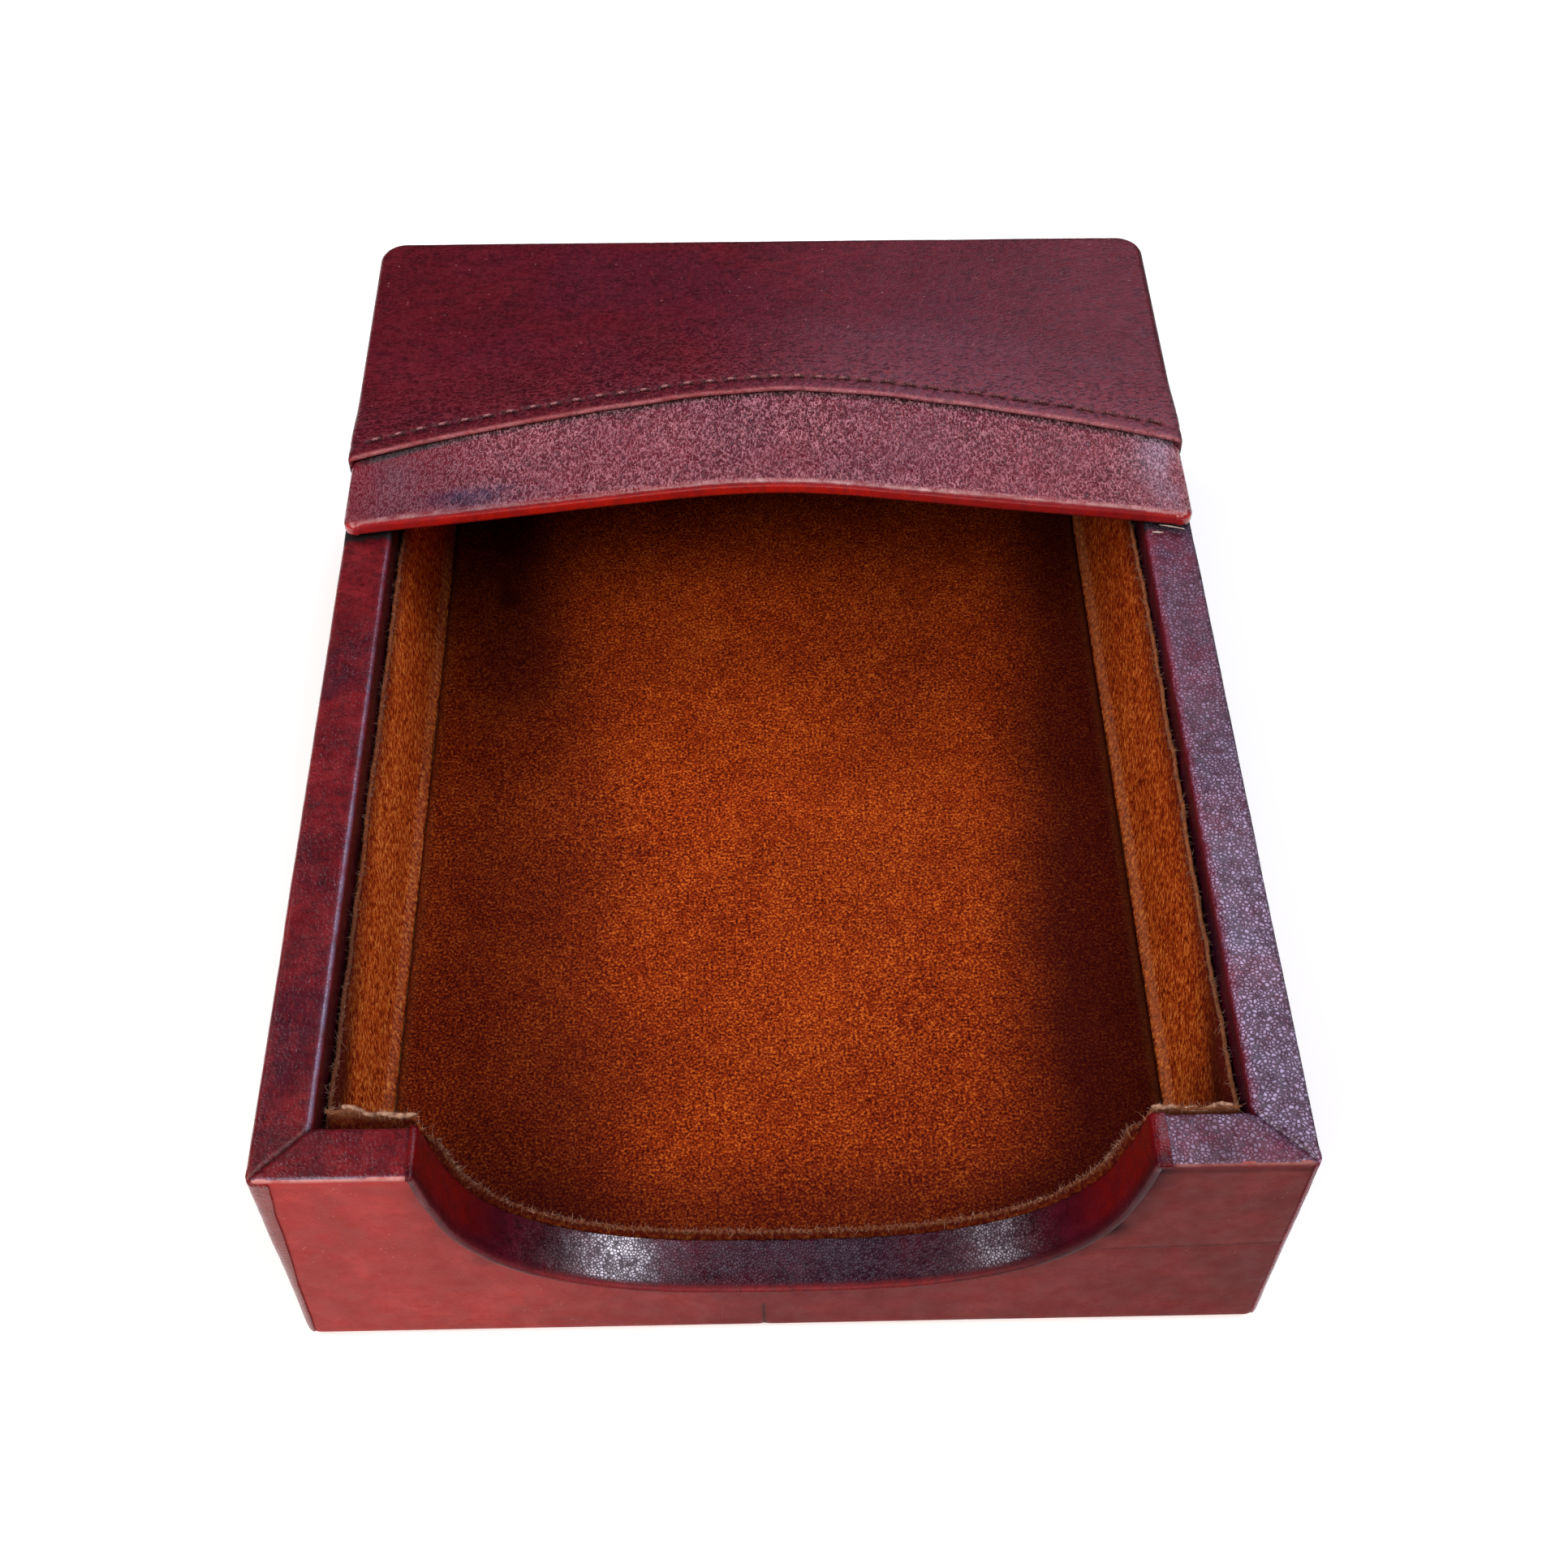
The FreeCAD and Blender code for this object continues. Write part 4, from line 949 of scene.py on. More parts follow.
def flap_shape(x):
    """How far the frayed edge on a tab leans into the well and how far it rises above 38.6 mm."""
    Q = np.stack([x, x * 0, x * 0], -1)
    left = x < 0
    over = np.where(left, 1.75 + 0.45 * step(-46, -53, x) + 0.25 * noise(Q, 2.6, 8), 0.75 + 0.25 * noise(Q, 2.2, 9))
    rise = np.where(left, 2.2 + 0.4 * step(-45, -53, x), 2.4) + 0.35 * noise(Q, 1.8, 7)
    return over, rise


def front_lining(seed=151):
    C, nrm = front_top(seed)
    n = len(C)
    s = np.linspace(0, 1, n)
    xb = 0.45 * C[:, 0] + 0.55 * (-55.2 + 110.4 * s)
    xb = np.where(np.abs(C[:, 0]) > 43.5, C[:, 0], xb)
    xb = np.maximum.accumulate(np.interp(np.arange(n), np.arange(n), xb))
    u = np.r_[np.linspace(0, 0.9, 34), np.linspace(0.9, 1.0, 7)[1:]]
    X = xb[None, :] + (C[None, :, 0] - xb[None, :]) * u[:, None]
    Z = 4.45 + (C[None, :, 1] - 4.45) * u[:, None]
    ft = foot(Z) * step(0.0, 4.0, C[None, :, 1] - 4.45)
    Y = -YW + ft
    X = np.sign(X) * np.minimum(np.abs(X), 55.3 - foot(Z))
    # on the tabs the edge leans into the well and is frayed, more so on the left
    tab = step(43.0, 45.0, np.abs(C[:, 0]))[None, :]
    lean = tab * step(0.82, 1.0, u)[:, None]
    over, rise = flap_shape(C[:, 0])
    Y = Y + lean * over[None, :]
    Z = Z + lean * rise[None, :]
    V = np.stack([X, Y, Z], -1).reshape(-1, 3)
    F = grid(len(u), n)
    N = normals(V, F)
    if np.median(N[:, 1]) < 0:
        F, N = F[:, ::-1], -N
    V = V + N * (0.05 * noise(V, 0.9, seed))[:, None]
    parts = [thick_sheet(V, F, 0.85 - 0.45 * step(0.9, 1.0, np.repeat(u, n)), K=3, bulge=0.6) + (0,)]
    rng = np.random.default_rng(seed)
    k = rng.integers(0, n, 3600)
    t = rng.random(len(k))
    c, nn = C[k], nrm[k]
    tabk = step(43.0, 45.0, np.abs(c[:, 0]))
    over, rise = flap_shape(c[:, 0])
    roots = np.stack([c[:, 0], -YW - 0.36 + 0.36 * t + tabk * over, c[:, 1] + tabk * rise - 0.04], -1)
    dirs = np.stack([nn[:, 0] * 0.5 + rng.normal(0, 0.9, len(k)), rng.normal(0.0, 0.45, len(k)), nn[:, 1] * 0.5 + rng.uniform(-0.3, 0.5, len(k))], -1)
    L = np.minimum((rng.gamma(2.2, 0.11, len(k)) + 0.08) * (1 + 0.5 * tabk), 0.9)
    parts.append(fibres(roots, dirs, L, rng.uniform(0.028, 0.055, len(k)), seed + 3, curl=0.8) + (1,))
    # the cloth's cut edge is rolled along both tabs
    for sign in (-1, 1):
        xs = np.linspace(44.4, 53.6 if sign < 0 else 54.6, 70) * sign
        over, rise = flap_shape(xs)
        Q = np.stack([xs, xs * 0, xs * 0], -1)
        curl = step(50.5, 53.5, np.abs(xs)) * (1.0 if sign < 0 else 0.4)
        c = np.stack([xs, -YW - 0.15 + over + 0.10 * noise(Q, 1.0, seed + 6) + 0.5 * curl, 38.62 + rise + 0.10 * noise(Q, 0.8, seed + 7) + 0.35 * curl], -1)
        tg = unit(np.gradient(c, axis=0))
        w1 = unit(np.cross(tg, np.array([0, 0, 1.0])))
        w2 = np.cross(w1, tg)
        b = np.linspace(0, 2 * math.pi, 9, endpoint=False)
        rr = 0.27 + 0.07 * noise(Q, 0.7, seed + 8)
        rr = rr * step(0.0, 0.06, np.linspace(0, 1, 70)) ** 0.5 * step(1.0, 0.94, np.linspace(0, 1, 70)) ** 0.5 + 0.03
        ring = c[:, None] + rr[:, None, None] * (w1[:, None] * np.cos(b)[None, :, None] + w2[:, None] * np.sin(b)[None, :, None])
        ring = ring * (1 + 0.0015 * noise(ring, 0.35, seed + 9)[..., None])
        parts.append(tube(ring) + (1,))
    return parts


_C, _ = front_top()


def front_raw(P):
    d = np.full(len(P), 9.0)
    pts = _C[::2]
    for a in range(0, len(P), 4000):
        b = P[a:a + 4000]
        dd = np.sqrt((b[:, None, 0] - pts[None, :, 0]) ** 2 + (b[:, None, 2] - pts[None, :, 1]) ** 2)
        d[a:a + 4000] = dd.min(1)
    return d


# painted shade on the front lining: darker all over, more so near its raw edge and on the tabs
build("front_wall_velveteen", front_lining(), [M_VELVET_WALL, M_FIBRE], ["front_wall_lining"], sharp=60, recalc=False,
      attrs={"raw": lambda P: 0.40 * step(0.30, 0.06, front_raw(P)) + 0.4 * step(39.8, 40.8, P[:, 2]), "tint": lambda P: 0.2 + 0.0 * P[:, 0],
             "painted_shade_and_spot": lambda P: np.maximum(0.6 + 0.4 * step(1.4, 0.4, front_raw(P)), step(36.5, 38.5, P[:, 2]) * step(43.0, 44.5, np.abs(P[:, 0])))})


def back_lining(seed=171):
    xs = np.linspace(-55.2, 55.2, 221)
    u = np.linspace(0, 1, 60)
    zt = raw_top(xs, seed, 38.3)
    X, Uu = np.meshgrid(xs, u)
    Z = 4.45 + (zt[None, :] - 4.45) * Uu
    Y = YW - foot(Z)
    X = np.sign(X) * np.minimum(np.abs(X), 55.3 - foot(Z))
    V = np.stack([X, Y, Z], -1).reshape(-1, 3)
    F = grid(*X.shape)
    N = normals(V, F)
    if np.median(N[:, 1]) > 0:
        F, N = F[:, ::-1], -N
    V = V + N * (0.05 * noise(V, 0.9, seed))[:, None]
    return [thick_sheet(V, F, 0.95, K=3, bulge=0.7) + (0,)]


# painted shade: the back lining is darkened a little all over
build("back_wall_velveteen", back_lining(), [M_VELVET_WALL], ["back_wall_lining"], sharp=60, recalc=False,
      attrs={"raw": lambda P: step(1.0, 0.3, raw_top(P[:, 0], 171, 38.3) - P[:, 2]), "tint": lambda P: 0.3 + 0 * P[:, 0], "painted_shade_and_spot": lambda P: 0.2 + 0 * P[:, 0]})


def floor_lining(seed=191):
    def axis(h, sp):
        e = np.array([0, 0.03, 0.1, 0.22, 0.38, 0.58, 0.8, 1.05])
        mid = np.linspace(-h + 1.4, h - 1.4, int(2 * (h - 1.4) / sp))
        return np.r_[-h + e, mid, h - e[::-1]]
    hx, hy = 54.0, YW - 1.4
    xs, ys = axis(hx, 0.5), axis(hy, 0.5)
    X, Y = np.meshgrid(xs, ys)
    rc = 1.2
    qx, qy = np.maximum(np.abs(X) - (hx - rc), 0), np.maximum(np.abs(Y) - (hy - rc), 0)
    k = np.minimum(1.0, rc / np.maximum(np.hypot(qx, qy), 1e-9))
    X = np.where((qx > 0) & (qy > 0), np.sign(X) * (hx - rc + qx * k), X)
    Y = np.where((qx > 0) & (qy > 0), np.sign(Y) * (hy - rc + qy * k), Y)
    qx, qy = np.maximum(np.abs(X) - (hx - rc), 0), np.maximum(np.abs(Y) - (hy - rc), 0)
    q = np.minimum(np.hypot(qx, qy), rc * 0.999)
    drop = 1.15 * (1 - np.sqrt(1 - (q / rc) ** 2))
    P = np.stack([X, Y, X * 0], -1)
    Z = Z_FLOOR - drop + (0.055 * noise(P, 0.62, seed) + 0.045 * noise(P, 1.7, seed + 1) + 0.05 * fbm(P, 22.0, seed + 2, 2))
    V = np.stack([X, Y, Z], -1).reshape(-1, 3)
    F = grid(*X.shape)
    N = normals(V, F)
    if np.median(N[:, 2]) < 0:
        F = F[:, ::-1]
    V2, F2 = thick_sheet(V, F, 0.42, K=1, bulge=0.4)
    return [(V2, F2, 0)]


def floor_shade_and_spot(P):
    # painted shade: the floor is darker along the two sides, at the front and under the bridge; the spot is a small
    # dark mark on the floor
    x, y = P[:, 0], P[:, 1]
    wob = 1.8 * fbm(np.stack([x * 0.3, y, x * 0], -1), 14.0, 6, 2)
    f = 0.90 - 0.13 * step(0, -16, y) - 0.10 * step(-30, -57, y) - 0.08 * np.exp(-((y - 26) / 12) ** 2)
    f = f * (1.04 - 0.13 * step(-8, 22, x)) * (1 - 0.58 * step(-60, -73, y))
    tl = step(1, -1, (x + 24.5 + 0.24 * np.maximum(0, y + 2) + wob) / (10 - 0.09 * np.maximum(0, y)))
    f = f * (1 - (0.50 + 0.24 * step(8, 26, y) + 0.10 * step(-50, -62, y)) * tl * (1 - 0.30 * step(-43, -53, x)))
    tr = step(-1, 1, (x - 37.5 - 0.08 * (y + 13) + wob) / (8 + 4 * step(-40, -60, y)))
    f = f * (1 - (0.78 + 0.12 * step(-20, -45, y) * step(37, 44, x)) * tr)
    f = f * (1 - 0.12 * fbm(P * np.array([1, 1, 0.0]), 24.0, 5, 2))
    spot = 0.9 * np.exp(-((x + 43.6) ** 2 + (y - 42.7) ** 2) / 1.3 ** 2)
    return np.clip((1 - f) / 0.89 + spot, 0, 1)


floor_piece = build("floor_velveteen", floor_lining(), [M_VELVET], ["floor_lining"], sharp=60, recalc=False,
                    attrs={"painted_shade_and_spot": floor_shade_and_spot, "tint": lambda P: 0.0 * P[:, 0], "raw": lambda P: 0.22 * step(52.0, 53.6, np.abs(P[:, 0]))})


# ------------------------------------------------------------------ bridge
def y_edge(x):
    a = np.abs(np.asarray(x, float))
    return np.where(a >= 14, 19.1 + 0.145 * (63.5 - a), 26.2775 + 1.0125 * (1 - (a / 14) ** 2))


HEMP = [(0, 47.4), (8, 46.75), (17, 45.55), (21.5, 44.5), (29, 43.05), (34, 41.8), (41, 40.1), (46, 38.75), (51, 37.35), (56, 35.8), (60.5, 34.3), (67, 32.0)]
_hs = Spline([(-a, b) for a, b in HEMP[:0:-1]] + HEMP)
_hq = _hs.even(0.2)


def y_fold(x):
    return np.interp(np.asarray(x, float) - 3.0, _hq[:, 0], _hq[:, 1])


def fold_slope(x):
    return (y_fold(np.asarray(x) + 0.5) - y_fold(np.asarray(x) - 0.5))


def behind(x, y):
    """Distance behind the fold line."""
    return (y - y_fold(x)) / np.sqrt(1 + fold_slope(x) ** 2)


def rolled(free, left, back, right, z_top, side_r, z_bot, bot_r, under, corner_pts, cols_v):
    """Top patch between four plan curves plus a flange rolled down round left, back and right. Returns V, F, path info.
    free and back run left to right; left and right run from free to back."""
    n, m = len(left), len(free)
    u = np.linspace(0, 1, m)[None, :, None]
    v = cols_v[:, None, None]
    Fr, B, L, R = free[None], back[None], left[:, None], right[:, None]
    T = (1 - v) * Fr + v * B + (1 - u) * L + u * R - ((1 - u) * (1 - v) * free[0] + u * (1 - v) * free[-1] + (1 - u) * v * back[0] + u * v * back[-1])
    idx = np.arange(n * m).reshape(n, m)
    path = np.r_[idx[:, 0], idx[-1, 1:], idx[-2::-1, -1]]
    XY = T.reshape(-1, 2)
    pp = XY[path]
    tan = unit(np.gradient(pp, axis=0))
    out = np.stack([-tan[:, 1], tan[:, 0]], -1)
    c = XY.mean(0)
    if ((pp - c) * out).sum() < 0:
        out = -out
    s = np.r_[0, np.cumsum(np.linalg.norm(np.diff(pp, axis=0), axis=1))]
    corner = np.full(len(pp), 1e9)
    for cp in corner_pts:
        k = np.argmin(np.linalg.norm(pp - cp, axis=1))
        corner = np.minimum(corner, np.abs(s - s[k]))
    zt = z_top(XY[:, 0], XY[:, 1])
    V = [np.column_stack([XY, zt])]
    zp = zt[path]
    rowsV = []
    for a in np.radians([15, 30, 45, 60, 75, 90]):
        rowsV.append(np.column_stack([pp + out * side_r * math.sin(a), zp - side_r * (1 - math.cos(a))]))
    zlo = z_bot + bot_r
    for t in np.linspace(0, 1, 5)[1:]:
        rowsV.append(np.column_stack([pp + out * side_r, (zp - side_r) * (1 - t) + zlo * t]))
    for a in np.radians([30, 60, 90]):
        rowsV.append(np.column_stack([pp + out * (side_r - bot_r + bot_r * math.cos(a)), np.full(len(pp), zlo) - bot_r * math.sin(a)]))
    ins = np.minimum(under, 0.5 + corner)
    for t in (0.35, 0.7, 1.0):
        rowsV.append(np.column_stack([pp + out * (side_r - bot_r - ins * t)[:, None], np.full(len(pp), z_bot)]))
    for r in rowsV:
        V.append(r)
    faces = [grid(n, m)]
    prev = path
    off = n * m
    for r in rowsV:
        cur = off + np.arange(len(path))
        faces.append(np.stack([prev[:-1], prev[1:], cur[1:], cur[:-1]], -1))
        prev = cur
        off += len(path)
    F0 = faces[0]
    VV = np.concatenate(V)
    FF0 = F0
    N0 = normals(VV, F0)
    if np.median(N0[:n * m, 2]) < 0:
        FF0 = F0[:, ::-1]
    ring = np.concatenate(faces[1:])
    # orient the ring with the top: the first ring face shares the path edge
    a, b = path[0], path[1]
    top_has = {(int(x), int(y)) for f in FF0 for x, y in ((f[0], f[1]), (f[1], f[2]), (f[2], f[3]), (f[3], f[0])) if a in f and b in f}
    if (int(a), int(b)) in top_has:
        ring = ring[:, ::-1]
    return VV, np.concatenate([FF0, ring]), n * m


def rounded_corner(cx, cy, r, a0, a1, n):
    a = np.radians(np.linspace(a0, a1, n))
    return np.stack([cx + r * np.cos(a), cy + r * np.sin(a)], -1)


# --- the band round the bridge's front edge; it runs back under the upper panel
def band():
    r = 1.05
    m = 440
    hx = 63.15
    xs = np.linspace(-1, 1, m)
    # free edge: at the back, under the panel
    xf = xs * (hx - r)
    free = np.stack([xf, y_fold(xf) + 6.5], -1)
    # front line inset by r, between the corners' middles
    rc = 0.9
    cx, yc = hx - r - rc, None
    yfr = y_edge(xf) + r
    ycn = float(y_edge(hx) + r + rc)
    ar = rounded_corner(cx, ycn, rc, -45, -90 + 8, 5)
    al = rounded_corner(-cx, ycn, rc, -135, -90 - 8, 5)
    xm = np.linspace(al[-1, 0], ar[-1, 0], m - 8)[1:-1]
    xm = np.r_[xm]
    middle = np.stack([xm, y_edge(xm) + r], -1)
    # meet the corner arcs smoothly
    back = np.concatenate([al, middle, ar[::-1]])
    back = resample(back, np.linalg.norm(np.diff(back, axis=0), axis=1).sum() / (m - 1))
    if len(back) != m:
        t = np.linspace(0, 1, len(back))
        tt = np.linspace(0, 1, m)
        back = np.stack([np.interp(tt, t, back[:, 0]), np.interp(tt, t, back[:, 1])], -1)
    vs = np.r_[np.linspace(0, 0.97, 64)[:-1], np.linspace(0.97, 1.0, 9)]

    def side(sign):
        arc = rounded_corner(sign * cx, ycn, rc, 0 if sign > 0 else 180, -45 if sign > 0 else 225, 6)
        y0 = float(y_fold(sign * (hx - r)) + 6.5)
        line = np.stack([np.full(60, sign * (hx - r)), np.linspace(y0, ycn, 60)], -1)
        q = np.concatenate([line, arc[1:]])
        d = np.r_[0, np.cumsum(np.linalg.norm(np.diff(q, axis=0), axis=1))]
        tt = vs * d[-1]
        return np.stack([np.interp(tt, d, q[:, 0]), np.interp(tt, d, q[:, 1])], -1)

    left, right = side(-1), side(1)
    z_top = lambda x, y: np.full(np.shape(x), Z_BAND - 0.03)
    V, F, ntop = rolled(free, left, back, right, z_top, r, Z_BL, 0.55, 6.5, [left[-1], right[-1]], vs)
    N = normals(V, F)
    P = V.copy()
    x, y, z = P.T
    ahead = y - y_edge(x)
    # fine wrinkles, mostly across the band, with a smooth stretch at the far left
    smooth = step(-58, -38, x)
    wr = noise(np.stack([x + 0.16 * y, y * 0.26, z * 0.3], -1), 0.74, 301) * 0.75 + noise(np.stack([x - 0.12 * y, y * 0.34, z * 0.3], -1), 0.58, 302) * 0.25
    wr = 1 - np.abs(wr) * 2.2
    h = 0.045 * wr * (0.30 + 0.70 * smooth) * step(Z_BAND - 0.6, Z_BAND - 0.2, z)
    h += 0.05 * fbm(P, 11.0, 303, 2)
    # the leather sags a little between the hem's fold and the front edge
    h -= 0.14 * np.exp(-((ahead - 8.5) / 4.5) ** 2) * step(Z_BAND - 0.5, Z_BAND - 0.1, z)
    V = V + N * h[:, None]
    # towards both ends the leather drops a little over the board's edge
    V[:, 2] -= 0.40 * (np.clip(np.abs(x) - 50.0, 0, 13.5) / 13.5) ** 2 * step(Z_BAND - 1.4, Z_BAND - 0.2, z) * step(3.5, 0.0, y - y_fold(x))
    return thick_sheet(V, F, 0.72, K=2)


V, F = band()


def band_wear(P):
    a = P[:, 1] - y_edge(P[:, 0])
    facez = step(Z_BAND - 0.25, Z_BAND - 0.9, P[:, 2]) * step(1.3, 0.5, a)
    left = (0.50 + 0.45 * step(34, 0, P[:, 0])) * (1 - 0.45 * step(-50, -58, P[:, 0])) * (0.9 + 0.2 * noise(P, 2.2, 44))
    return np.clip(1.0 * facez * left * step(43.8, 44.3, P[:, 2]) + 0.20 * np.exp(-((a - 0.5) / 0.6) ** 2), 0, 1)


def band_painted_shade(P):
    # painted shade: darker under the hem's fold, at the far left and towards the foot of the front face, and in the
    # dark bluish reflection patch
    a = P[:, 1] - y_edge(P[:, 0])
    top = step(Z_BAND - 0.5, Z_BAND - 0.2, P[:, 2])
    painted_blue_reflection = 0.25 * np.exp(-((P[:, 0] + 42) / 8.5) ** 2) * np.exp(-((a - 2.1) / 1.5) ** 2) * (0.75 + 0.5 * noise(P, 3.0, 8))
    far = 0.38 * step(-40, -62, P[:, 0])
    under = 0.85 * step(1.1, 0.2, y_fold(P[:, 0]) - P[:, 1])
    face_foot_shade = (0.40 + 0.30 * step(10, 45, P[:, 0])) * step(44.7, 43.9, P[:, 2])
    return np.clip(face_foot_shade + top * (painted_blue_reflection + far + under), 0, 1)


def band_blue_reflection(P):
    # painted reflection: a dark bluish patch at the left of the band
    a = P[:, 1] - y_edge(P[:, 0])
    q = noise(P, 4.0, 18)
    return np.clip(1.05 * np.exp(-((P[:, 0] + 45.0 + 2 * q) / 8.0) ** 2) * np.exp(-((a - 2.9 + 0.7 * q) / 2.3) ** 2), 0, 0.9) * step(Z_BAND - 0.5, Z_BAND - 0.2, P[:, 2])


def band_painted_sheen(P):
    # painted sheen: a pale bluish patch at the right end of the band and a faint one at the left end
    y = P[:, 1]
    q = noise(P, 5.0, 19)
    main = 0.56 * np.exp(-((P[:, 0] - 60.4 + 0.10 * (y - 30)) / (3.9 + q)) ** 2) * np.exp(-((y - 30.0) / 7.0) ** 2)
    left = 0.07 * np.exp(-((P[:, 0] + 57.0) / 3.5) ** 2) * np.exp(-((y - 29.0) / 5.0) ** 2)
    return np.clip(main + left, 0, 1) * step(Z_BAND - 0.5, Z_BAND - 0.2, P[:, 2])


def band_edge_highlight(P):
    # painted highlight: a thin broken pale line along the top of the band's front edge
    a = P[:, 1] - y_edge(P[:, 0])
    where = 0.45 * step(-33, -50, P[:, 0]) + step(-24, -4, P[:, 0])
    broken = np.clip(0.55 + 0.9 * noise(P * np.array([1, 0.3, 0.3]), 1.3, 45) + 0.35 * noise(P * np.array([1, 0.3, 0.3]), 5.0, 47), 0, 1.2)
    line = np.exp(-((a - 0.60 - 0.10 * noise(P, 3.0, 48)) / 0.19) ** 2) * step(Z_BAND - 0.8, Z_BAND - 0.4, P[:, 2]) * where * broken
    return np.clip(0.85 * line, 0, 1)


def band_crinkle(P):
    a = P[:, 1] - y_edge(P[:, 0])
    return (0.25 + 0.75 * step(-58, -38, P[:, 0])) * step(0.2, 1.6, a) * (0.75 + 0.35 * noise(P, 8.0, 9)) * (1 - 0.6 * band_blue_reflection(P))


def sliver(points, r, seed):
    """A pale thin uneven thread through the points, for a cut edge of leather and for a painted glint."""
    c = Spline(points).even(0.12)
    k = np.linspace(0, 1, len(c))
    tg = unit(np.gradient(c, axis=0))
    w1 = unit(np.cross(tg, np.array([0, 0, 1.0])))
    w2 = np.cross(w1, tg)
    rr = r * (0.35 + 0.65 * np.sin(math.pi * np.clip(k, 0.02, 0.98)) ** 0.5) * (1 + 0.3 * noise(c, 0.5, seed))
    b = np.linspace(0, 2 * math.pi, 8, endpoint=False)
    return tube(c[:, None] + rr[:, None, None] * (w1[:, None] * np.cos(b)[None, :, None] * 1.3 + w2[:, None] * np.sin(b)[None, :, None]))


# the first is a pale cut edge of leather in the gap under the bridge; the second is a painted highlight, a pale thread
# for a glint on the rim
cut_edge_and_glint = [sliver([(58.5, 20.3, 43.40), (60.3, 19.95, 43.36), (62.2, 19.55, 43.20)], 0.10, 91) + (1,),
             sliver([(57.3, 19.2, 43.00), (58.2, 19.12, 43.02), (59.0, 19.1, 43.00)], 0.08, 92) + (1,)]
build("bridge_front_leather_band", [(V, F, 0)] + cut_edge_and_glint, [M_BAND, M_PALE], ["bridge_front_leather"], sharp=50, recalc=False,
      attrs={"wear": band_wear, "dark": band_painted_shade, "crinkle": band_crinkle, "edge": band_edge_highlight, "painted_blue_reflection": band_blue_reflection, "painted_sheen": band_painted_sheen})


# --- stitches: where they sit on the hem
def stitch_places():
    x = np.linspace(-62.5, 62.5, 4000)
    s = fold_slope(x)
    nx, ny = -s / np.sqrt(1 + s * s), 1 / np.sqrt(1 + s * s)
    q = np.stack([x + nx * 3.0, y_fold(x) + ny * 3.0], -1)
    d = np.r_[0, np.cumsum(np.linalg.norm(np.diff(q, axis=0), axis=1))]
    total = d[-1]
    n = 36
    rng = np.random.default_rng(7)
    at = total / 2 + (np.arange(n) - (n - 1) / 2) * 3.5 + rng.normal(0, 0.10, n)
    p = np.stack([np.interp(at, d, q[:, 0]), np.interp(at, d, q[:, 1])], -1)
    tg = unit(np.stack([np.interp(at + 0.3, d, q[:, 0]) - np.interp(at - 0.3, d, q[:, 0]), np.interp(at + 0.3, d, q[:, 1]) - np.interp(at - 0.3, d, q[:, 1])], -1))
    ang = rng.normal(0, 0.05, n)
    ca, sa = np.cos(ang), np.sin(ang)
    tg = np.stack([tg[:, 0] * ca - tg[:, 1] * sa, tg[:, 0] * sa + tg[:, 1] * ca], -1)
    p = p + np.stack([-tg[:, 1], tg[:, 0]], -1) * rng.normal(0, 0.06, n)[:, None]
    return p, tg


ST_P, ST_T = stitch_places()
ST_HALF = 0.92     # half the visible length


def hem_z(x, y):
    t = behind(x, y)
    z = Z_BAND + 0.95 * (1 - step(3.6, 15.0, t))
    # a soft roll at the fold, and a shallow channel that the stitches have pulled in
    z = z + 0.10 * np.exp(-((t - 1.3) / 0.8) ** 2)
    z = z - 0.12 * np.exp(-((t - 3.0) / 0.7) ** 2)
    return z


def stitch_relief(P):
    x, y = P[:, 0], P[:, 1]
    out = np.zeros(len(P))
    near = np.flatnonzero(np.abs(behind(x, y) - 3.0) < 4.0)
    for k in range(len(ST_P)):
        dx, dy = x[near] - ST_P[k, 0], y[near] - ST_P[k, 1]
        sel = (dx * dx + dy * dy) < 16
        if not sel.any():
            continue
        a = dx[sel] * ST_T[k, 0] + dy[sel] * ST_T[k, 1]
        b = -dx[sel] * ST_T[k, 1] + dy[sel] * ST_T[k, 0]
        g = np.zeros(sel.sum())
        for e in (-ST_HALF - 0.1, ST_HALF + 0.1):
            rr = np.hypot((a - e) * 0.9, b)
            g -= 0.42 * np.exp(-(rr / 0.36) ** 2)
            g += 0.05 * np.exp(-((rr - 0.75) / 0.3) ** 2)
            th = np.arctan2(b, a - e)
            g += 0.035 * np.cos(5 * th + k) * np.exp(-((rr - 1.0) / 0.55) ** 2)
        g -= 0.10 * np.exp(-(b / 0.5) ** 2) * step(ST_HALF + 0.3, ST_HALF - 0.4, np.abs(a))
        out[near[sel]] += g
    return out


